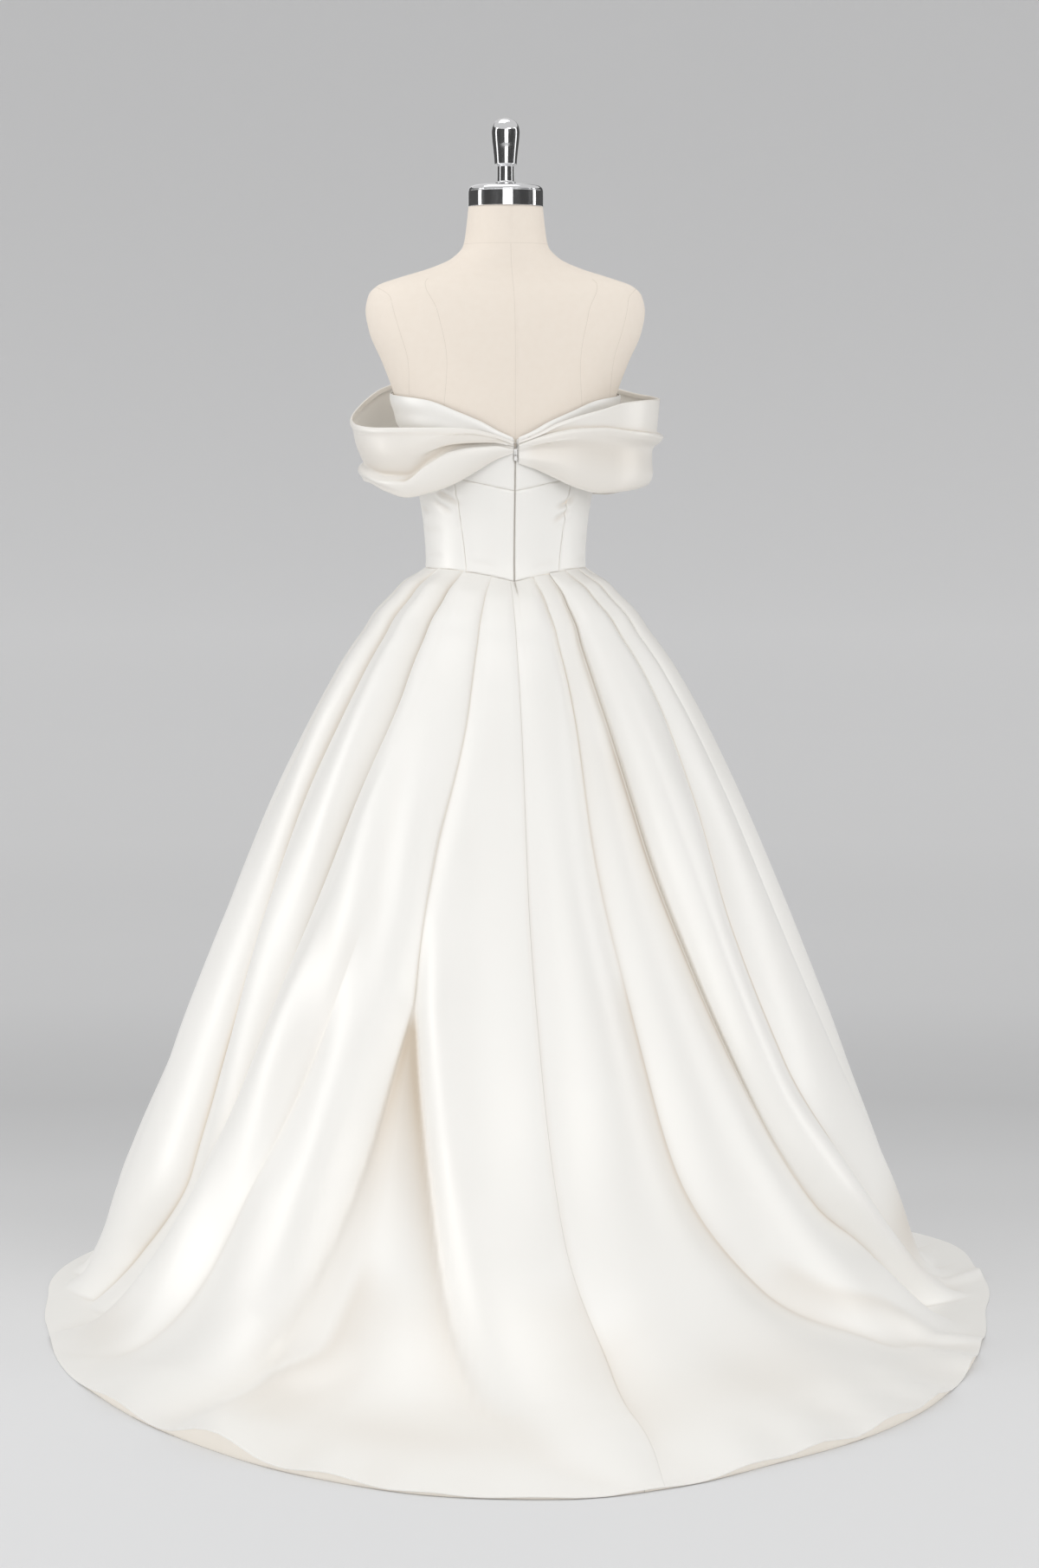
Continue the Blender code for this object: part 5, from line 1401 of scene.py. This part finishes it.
def fold_shade(degrees, share):
    """Add up the shade of all folds, ridges and hollows."""
    radius, _ = read_bare(degrees, share)
    total = np.zeros_like(degrees)
    for fold, side, width, soft, crisp, begin, end in FOLD_SHADES:
        away = side * np.radians(turned_from(degrees, fold_angle(fold, share))) * radius
        if side * FOLDS[fold][5] > 0:
            away = away - 0.8 * lap_size(fold, share)
        total += one_shade(away, width, soft, crisp, share, begin, end)
    for ridge, side, width, soft, crisp, begin, end in RIDGE_SHADES:
        line = smooth_read(RIDGES[ridge][0], 1, share)
        away = side * np.radians(turned_from(degrees, line)) * radius
        total += one_shade(away, width, soft, crisp, share, begin, end, blur=RIDGE_BLUR)
    for angle, middle, half_angle, half_share, dark in SHADE_PATCHES:
        total += dark * hump(turned_from(degrees, angle), 0.0, half_angle) * hump(share, middle, half_share)
    # Painted shade inside the fold that opens like a tent: dark near its top, and along its right edge.
    away = turned_from(degrees, fold_angle(POCKET_FOLD, share))
    half = pocket_opening(share)
    inside = smooth_step((half - np.abs(away)) / 1.8 + 0.5) * smooth_step(half / 1.0)
    right_edge = np.exp(-np.maximum(away + half, 0.0) / 2.2) * smooth_step((0.78 - share) / 0.2)
    total += inside * (0.85 * (1 - smooth_step((share - 0.42) / 0.24)) + 0.30 * right_edge)
    return total


# %% [markdown]
# ### The six pieces
# Columns run along the folds, not straight down, so that a crease is always a row of edges. They
# crowd together at the valleys, where the lips are, and the rows crowd at the waist and the hem.

# %% Make the skirt's pieces
# Columns from one valley to the next, on the photographed side and on the other.
SEEN_COLUMNS = 44
HIDDEN_COLUMNS = 18
SKIRT_ROWS = 210
LAST_LEFT_HIDDEN, FIRST_RIGHT_HIDDEN = 4, 15
# The most shade painted on the skirt.
DARKEST_SKIRT = 0.95
UNDERSIDE_LEAST_Z = 0.0002
# Piece, node, and the numbers of the valleys where it begins and ends.
GORES = (
    ("gore_front_left", "skirt_front_left", 0, 3), ("gore_side_left", "skirt_side_left", 3, 7),
    ("gore_back_left", "skirt_back_left", 7, 10), ("gore_back_right", "skirt_back_right", 10, 12),
    ("gore_side_right", "skirt_side_right", 12, 16), ("gore_front_right", "skirt_front_right", 16, 20),
)


def crowded(count, amount):
    """Give shares from 0 to just under 1 that crowd at both ends."""
    even = np.linspace(0, 1, count + 1)[:-1]
    return even - amount * np.sin(2 * math.pi * even) / (2 * math.pi)


skirt_shares = np.append(crowded(SKIRT_ROWS - 1, 0.45), 1.0)
centres = [fold_angle(index, skirt_shares) for index in range(len(FOLDS))]
skirt_columns, valleys = [], []
for index, centre in enumerate(centres):
    following = centres[(index + 1) % len(centres)] - (360.0 if index == len(centres) - 1 else 0.0)
    hidden = index <= LAST_LEFT_HIDDEN or index >= FIRST_RIGHT_HIDDEN
    valleys.append(len(skirt_columns))
    for part in crowded(HIDDEN_COLUMNS if hidden else SEEN_COLUMNS, 0.66):
        skirt_columns.append(centre + (following - centre) * part)
valleys.append(len(skirt_columns))
skirt_degrees = np.stack(skirt_columns, axis=1)
skirt_down = skirt_shares[:, None] + 0 * skirt_degrees
skirt_outer = skirt_points(skirt_degrees, skirt_down)
skirt_normal = grid_directions(skirt_outer, closed=True)
outward = skirt_outer.copy()
outward[..., 2] = 0
if np.sum(skirt_normal[20:100] * outward[20:100]) < 0:
    skirt_normal = -skirt_normal

# The painted shade: warm in the cloth's hollows and beside the folds, up to a limit.
skirt_painted_shade = HOLLOW_GAIN * hollowness(skirt_outer, skirt_normal, closed=True)
skirt_painted_shade = np.clip(skirt_painted_shade + fold_shade(skirt_degrees, skirt_down), 0.0, DARKEST_SKIRT)
skirt_pieces = []
for name, node, first, last in GORES:
    picked = np.arange(valleys[first], valleys[last] + 1) % skirt_outer.shape[1]
    outer = skirt_outer[:, picked].copy()
    along = np.gradient(outer, axis=1)
    along /= np.maximum(np.linalg.norm(along, axis=-1, keepdims=True), 1e-12)
    outer[:, 0] += along[:, 0] * SEAM_GAP / 3
    outer[:, -1] -= along[:, -1] * SEAM_GAP / 3
    piece = shell(name, outer, skirt_normal[:, picked], floor=UNDERSIDE_LEAST_Z,
                  painted_shade=skirt_painted_shade[:, picked])
    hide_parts(node)
    skirt_pieces.append(piece)
print("skirt pieces", [(piece.name, len(piece.data.polygons)) for piece in skirt_pieces])

# %% [markdown]
# ### The facing under the hem
# A gown's hem is faced on its inside with a strip of the lining, cut to the hem's own curve. It is
# caught just behind the edge, drops to the floor and lies on it, so it shows as a warm line wherever
# a wave lifts the satin.

# %% Lay the facing
# Columns: how far behind the hem's edge, the share of the edge's height, and what is added to it.
FACING = (
    (0.0016, 1.0, -0.0011), (0.0018, 0.75, -0.0006), (0.0021, 0.45, 0.0), (0.0024, 0.18, 0.0001),
    (0.0030, 0.0, 0.0003), (0.0140, 0.0, 0.0005), (0.0400, 0.0, 0.0008), (0.0800, 0.0, 0.0008),
    (0.1200, 0.0, 0.0008),
)
FACING_THICKNESS = 0.0004
FACING_LEAST_Z, FACING_UNDERSIDE_Z = 0.00025, 0.0001
FACING_BEGIN, FACING_END, FACING_COLUMNS = 0.012, 179.988, 420
hem_edge = skirt_outer[-1]
hem_turn = np.degrees(np.arctan2(hem_edge[:, 0], hem_edge[:, 1]))
hem_order = np.argsort(hem_turn)
hem_turn = hem_turn[hem_order]
hem_reach = np.hypot(hem_edge[:, 0], hem_edge[:, 1])[hem_order]
hem_z = hem_edge[hem_order, 2]
facing_pieces = []
for label, side in (("left", 1), ("right", -1)):
    facing_degrees = side * np.linspace(FACING_BEGIN, FACING_END, FACING_COLUMNS)
    edge_radius = np.interp(facing_degrees, hem_turn, hem_reach, period=360)
    edge_z = np.interp(facing_degrees, hem_turn, hem_z, period=360)
    facing_rows = []
    for back, part, up in FACING:
        facing_z = np.maximum(edge_z * part + up, FACING_LEAST_Z)
        facing_rows.append(spot(edge_radius - back, np.radians(facing_degrees), facing_z))
    facing = np.stack(facing_rows)
    facing_normal = grid_directions(facing)
    facing_normal *= np.sign(facing_normal[-2, FACING_COLUMNS // 2, 2])
    facing_pieces.append(shell("hem_facing_" + label, facing, facing_normal, LINING_LOOK,
                               thickness=FACING_THICKNESS, floor=FACING_UNDERSIDE_Z,
                               painted_shade=0 * facing[..., 0]))
print("hem facing", len(facing_pieces))

# %% [markdown]
# ## The zip and its hook
# A fine coil zip closes the centre back. Up close it is two rows of small teeth that interlock; at
# the distance of a whole dress it is one thin broken line. Every tooth is a small rounded block,
# repeated along the curve of the back.

# %% Make the teeth
TOOTH_PITCH = 0.0013
# Half a tooth's width, depth and height, and how far it stands to its own side of the middle.
TOOTH = (0.0011, 0.0009, 0.00042)
TOOTH_ASIDE = 0.00025
# How far the row lies behind the face of the cloth, how much less below the waist, and how far it
# ends below the slider.
TEETH_INSET, TEETH_RISE = 0.0012, 0.0004
TEETH_BELOW_SLIDER = 0.002
# A bevelled block: the corners of a ring, then the height and the size of each ring.
TOOTH_RING = ((-1, -0.6), (-0.6, -1), (0.6, -1), (1, -0.6), (1, 0.6), (0.6, 1), (-0.6, 1), (-1, 0.6))
TOOTH_LAYERS = ((-1, 0.55), (-0.6, 1.0), (0.6, 1.0), (1, 0.55))
TOOTH_CAPS = ((0, 1, 2, 3), (0, 3, 4, 7), (4, 5, 6, 7),
              (27, 26, 25, 24), (31, 28, 27, 24), (31, 30, 29, 28))


def tooth_corners(scale):
    """Give the corners of a block with its edges bevelled, as a grid of rings."""
    return np.array([[(x * size * scale[0], y * size * scale[1], z * scale[2]) for x, y in TOOTH_RING]
                     for z, size in TOOTH_LAYERS])


centre_back = skirt_outer[:20, valleys[CENTRE_BACK]]
tooth_points, tooth_quads = [], []
tooth_size = len(TOOTH_LAYERS) * len(TOOTH_RING)
tooth_heights = np.arange(ZIP_BOTTOM_Z, SLIDER_Z - TEETH_BELOW_SLIDER, TOOTH_PITCH)
for index, height in enumerate(tooth_heights):
    if height > WAIST_BACK_Z:
        face = float(bodice_radius(np.array(0.0), np.array(height)))
    else:
        face = float(np.interp(-height, -centre_back[:, 2], centre_back[:, 1])) + TEETH_RISE
    sideways = TOOTH_ASIDE * (1 if index % 2 else -1)
    grid = tooth_corners(TOOTH) + np.array((sideways, face - TEETH_INSET, height))
    sides = grid_quads(len(TOOTH_LAYERS), len(TOOTH_RING), closed=True)
    tooth_quads.append(sides + index * tooth_size)
    tooth_quads.append(np.array(TOOTH_CAPS) + index * tooth_size)
    tooth_points.append(grid.reshape(-1, 3))
zip_teeth = build_mesh("zip_teeth", np.concatenate(tooth_points), np.concatenate(tooth_quads), TEETH_LOOK)
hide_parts("zip_chain")
print("zip teeth", len(tooth_heights))

# %% [markdown]
# ## The studio
# The studio is pale and seamless. A wide bowl, floor and wall in one, keeps its edge out of every
# view. The paper's grey is painted lighter round the dress and darker behind it, a painted pool of
# light, and the light is large and soft, with a little more of it from the right as the camera sees it.

# %% Build the backdrop
BOWL = ((0.0, 0.0), (1.2, 0.0), (2.5, 0.0), (5.0, 0.0), (9.0, 0.0), (12.0, 0.0), (14.2, 0.25), (15.6, 1.0),
        (16.4, 2.4), (16.7, 4.2), (16.8, 6.5))
BOWL_Z = -0.0002
BOWL_ROWS, BOWL_COLUMNS = 120, 96
# A pool of light is painted into the paper's grey, which depends on how far it lies from this
# point, in front of the train.
LIGHT_POOL = (0.25, 2.3)
LIGHT_POOL_REACH = 20.0
# Share of that reach, painted grey.
PAINTED_GREYS = ((0.0, 0.76), (0.075, 0.745), (0.108, 0.725), (0.145, 0.665), (0.175, 0.605), (0.20, 0.575),
         (0.228, 0.62), (0.267, 0.705), (0.313, 0.755), (0.37, 0.79), (0.4425, 0.85), (0.5375, 0.885),
         (0.667, 0.915), (0.83, 0.93), (0.955, 0.79), (1.0, 0.79))
bowl_line = refine(np.array(BOWL), BOWL_ROWS, 0)
bowl_turn = np.linspace(0, 2 * math.pi, BOWL_COLUMNS, endpoint=False)[None, :]
bowl_radius = np.maximum(bowl_line[:, :1], 0.001) + 0 * bowl_turn
bowl_points = spot(bowl_radius, bowl_turn, np.maximum(bowl_line[:, 1:], 0.0) + BOWL_Z)
backdrop_material, backdrop_tree, backdrop_shader = new_material("studio_paper", (0.6, 0.6, 0.6), 0.9)
backdrop_shader.inputs["Specular IOR Level"].default_value = 0.1
place = backdrop_tree.nodes.new("ShaderNodeTexCoord")
parts = backdrop_tree.nodes.new("ShaderNodeSeparateXYZ")
join(backdrop_tree, place.outputs["Object"], parts.inputs[0])
from_pool_x = math_node(backdrop_tree, "SUBTRACT", parts.outputs["X"], LIGHT_POOL[0])
from_pool_y = math_node(backdrop_tree, "SUBTRACT", parts.outputs["Y"], LIGHT_POOL[1])
square_x = math_node(backdrop_tree, "MULTIPLY", from_pool_x, from_pool_x)
square_y = math_node(backdrop_tree, "MULTIPLY", from_pool_y, from_pool_y)
distance = math_node(backdrop_tree, "SQRT", math_node(backdrop_tree, "ADD", square_x, square_y))
far = math_node(backdrop_tree, "DIVIDE", distance, LIGHT_POOL_REACH)
ramp = backdrop_tree.nodes.new("ShaderNodeValToRGB")
join(backdrop_tree, far, ramp.inputs["Fac"])
for end_stop, (position, grey) in zip(ramp.color_ramp.elements, (PAINTED_GREYS[0], PAINTED_GREYS[-1])):
    end_stop.position = position
    end_stop.color = (grey, grey, grey, 1.0)
for position, grey in PAINTED_GREYS[1:-1]:
    stop = ramp.color_ramp.elements.new(position)
    stop.color = (grey, grey, grey * 1.004, 1.0)
join(backdrop_tree, ramp.outputs["Color"], backdrop_shader.inputs["Base Color"])
bowl_quads = grid_quads(BOWL_ROWS, BOWL_COLUMNS, closed=True)
backdrop = build_mesh("studio_bowl", bowl_points.reshape(-1, 3), bowl_quads, backdrop_material)
backdrop.parent = None
print("bowl", round(float(bowl_line[-1, 0]), 1), "m wide, wall", round(float(bowl_line[-1, 1]), 1), "m high")


# %% Set the lights
# All lights are turned to the middle of the dress.
MIDDLE = (0.0, 0.0, 0.8)
COOL_WHITE = (0.985, 0.992, 1.0)
# Name, place, width, height, watts.
LIGHTS = (
    ("key_softbox", (-2.2, 5.8, 2.9), 3.2, 2.6, 66), ("fill_softbox", (3.8, 5.0, 2.2), 3.0, 2.8, 53),
    ("left_strip", (3.4, 0.3, 1.6), 0.5, 2.6, 24), ("right_strip", (-3.4, 0.9, 1.6), 0.5, 2.6, 17),
    ("top_softbox", (0.5, -0.6, 4.8), 3.0, 3.0, 30),
)
for name, light_place, width, height, watts in LIGHTS:
    light = bpy.data.lights.new(name, "AREA")
    light.shape = "RECTANGLE"
    light.size = width
    light.size_y = height
    light.energy = watts
    light.color = COOL_WHITE
    holder = bpy.data.objects.new(name, light)
    holder.location = light_place
    towards = Vector(MIDDLE) - Vector(light_place)
    holder.rotation_euler = towards.to_track_quat("-Z", "Y").to_euler()
    bpy.context.scene.collection.objects.link(holder)
print("lights", len(LIGHTS))

# %% [markdown]
# ### Cards for the chrome
# Chrome shows nothing but its surroundings. In the photograph it mirrors a dark room with a few
# bright windows of light, so tall cards stand in a ring round the dress: black ones, and narrow
# white ones between them. Only reflections see them; they cast no shadow and throw no light.

# %% Stand dark and bright cards for the chrome to reflect
CARD_DISTANCE = 2.6
CARD_LOW, CARD_HIGH = 1.15, 2.5
# From and to which angle round the dress a card stands, in degrees, and how bright it is.
CARDS = (
    (16, 88, 0.035), (100, 172, 0.05), (172, 190, 0.9), (190, 262, 0.05),
    (262, 274, 1.6), (274, 346, 0.035), (346, 376, 1.6), (88, 100, 1.6),
)
CARD_COLUMNS = 13
AIR_LIGHT = 0.65
for number, (begin, end, brightness) in enumerate(CARDS):
    turn = np.radians(np.linspace(begin, end, CARD_COLUMNS))[None, :]
    rise = np.array(((CARD_LOW,), (CARD_HIGH,)))
    card_points = spot(CARD_DISTANCE + 0 * turn + 0 * rise, turn + 0 * rise, rise + 0 * turn)
    card_material, _, card_shader = new_material("card_%d" % number, (0.02, 0.02, 0.02), 1.0)
    card_shader.inputs["Emission Color"].default_value = (1.0, 1.0, 1.0, 1.0)
    card_shader.inputs["Emission Strength"].default_value = brightness
    card_quads = grid_quads(2, CARD_COLUMNS)
    card = build_mesh("studio_card_%d" % number, card_points.reshape(-1, 3), card_quads, card_material)
    card.parent = None
    card.visible_camera = False
    card.visible_diffuse = False
    card.visible_shadow = False
    card.visible_transmission = False
print("cards", len(CARDS))

world = bpy.data.worlds.new("studio_air")
world.use_nodes = True
air = world.node_tree.nodes["Background"]
air.inputs["Color"].default_value = (1.0, 1.0, 1.0, 1.0)
air.inputs["Strength"].default_value = AIR_LIGHT
bpy.context.scene.world = world
bpy.context.scene.view_settings.view_transform = "Standard"

# %% [markdown]
# ## The camera
# The lens is long, so the dress isn't distorted. It stands 5.75 m behind the dress, a little to the
# wearer's left and at chest height. It looks straight ahead, and its shift brings in the floor, so
# upright lines stay upright.

# %% Place the camera
CAMERA_TURN = math.radians(7.5)
CAMERA_FAR = 5.75
CAMERA_Z = 1.15
SENSOR_HEIGHT = 36.0
# The rest is measured in the photograph's own pixels: its size, the lens, the column of the dress
# form's axis and the row at the camera's height.
IMAGE_WIDTH, IMAGE_HEIGHT = 1200, 1811
FOCAL_PIXELS = 4790.0
AXIS_COLUMN = 584
HORIZON_ROW = 522
lens = bpy.data.cameras.new("photo_camera")
lens.sensor_fit = "VERTICAL"
lens.sensor_height = SENSOR_HEIGHT
lens.lens = FOCAL_PIXELS / IMAGE_HEIGHT * lens.sensor_height
lens.shift_x = (IMAGE_WIDTH / 2 - AXIS_COLUMN) / IMAGE_HEIGHT
lens.shift_y = (HORIZON_ROW - IMAGE_HEIGHT / 2) / IMAGE_HEIGHT
camera = bpy.data.objects.new("photo_camera", lens)
bpy.context.scene.collection.objects.link(camera)
forward = Vector((-math.sin(CAMERA_TURN), -math.cos(CAMERA_TURN), 0.0))
camera.location = (CAMERA_FAR * math.sin(CAMERA_TURN), CAMERA_FAR * math.cos(CAMERA_TURN), CAMERA_Z)
camera.rotation_euler = forward.to_track_quat("-Z", "Y").to_euler()
bpy.context.scene.camera = camera
print("lens", round(lens.lens, 1), "mm")

# %% [markdown]
# ## What each cloth piece was cut from
# Satin doesn't stretch, so every piece has a flat size. The numbers are the widest and longest
# measure of the flat piece, and its area where it isn't a rectangle. A closed shell counts its two
# faces and the edge, so half its surface is the cloth.


def flat_size(thing):
    """Measure a piece of cloth along its own UVs: its width, its length and its flat area."""
    layer = thing.data.uv_layers["cloth_metres"].uv
    values = np.zeros(len(layer) * 2, np.float32)
    layer.foreach_get("vector", values)
    values = values.reshape(-1, 2)
    areas = np.zeros(len(thing.data.polygons), np.float32)
    thing.data.polygons.foreach_get("area", areas)
    width, length = np.ptp(values[:, 0]), np.ptp(values[:, 1])
    return float(width), float(length), float(areas.sum() / 2)


for thing, held, rests_on in (
    [(panel, "stretched", ["form_body"]) for panel in panels]
    + [(ribbon_piece, "stretched", ["form_body"]) for ribbon_piece in stays + tapes]
    + [(facing, "laid", [piece.name for piece in skirt_pieces]) for facing in facing_pieces]
    + [(band, "folded", [panel.name for panel in panels[:2]]) for band in bands]
    + [(swag, "draped", [band.name for band in bands]) for swag in swags]
    + [(piece, "gathered", ["back_panel_left", "back_panel_right"]) for piece in skirt_pieces]
):
    width, length, area = flat_size(thing)
    width, length = round(width, 4), round(length, 4)
    area = min(max(area, 0.31 * width * length), 0.999 * width * length)
    print(thing.name, width, length, round(area, 4))
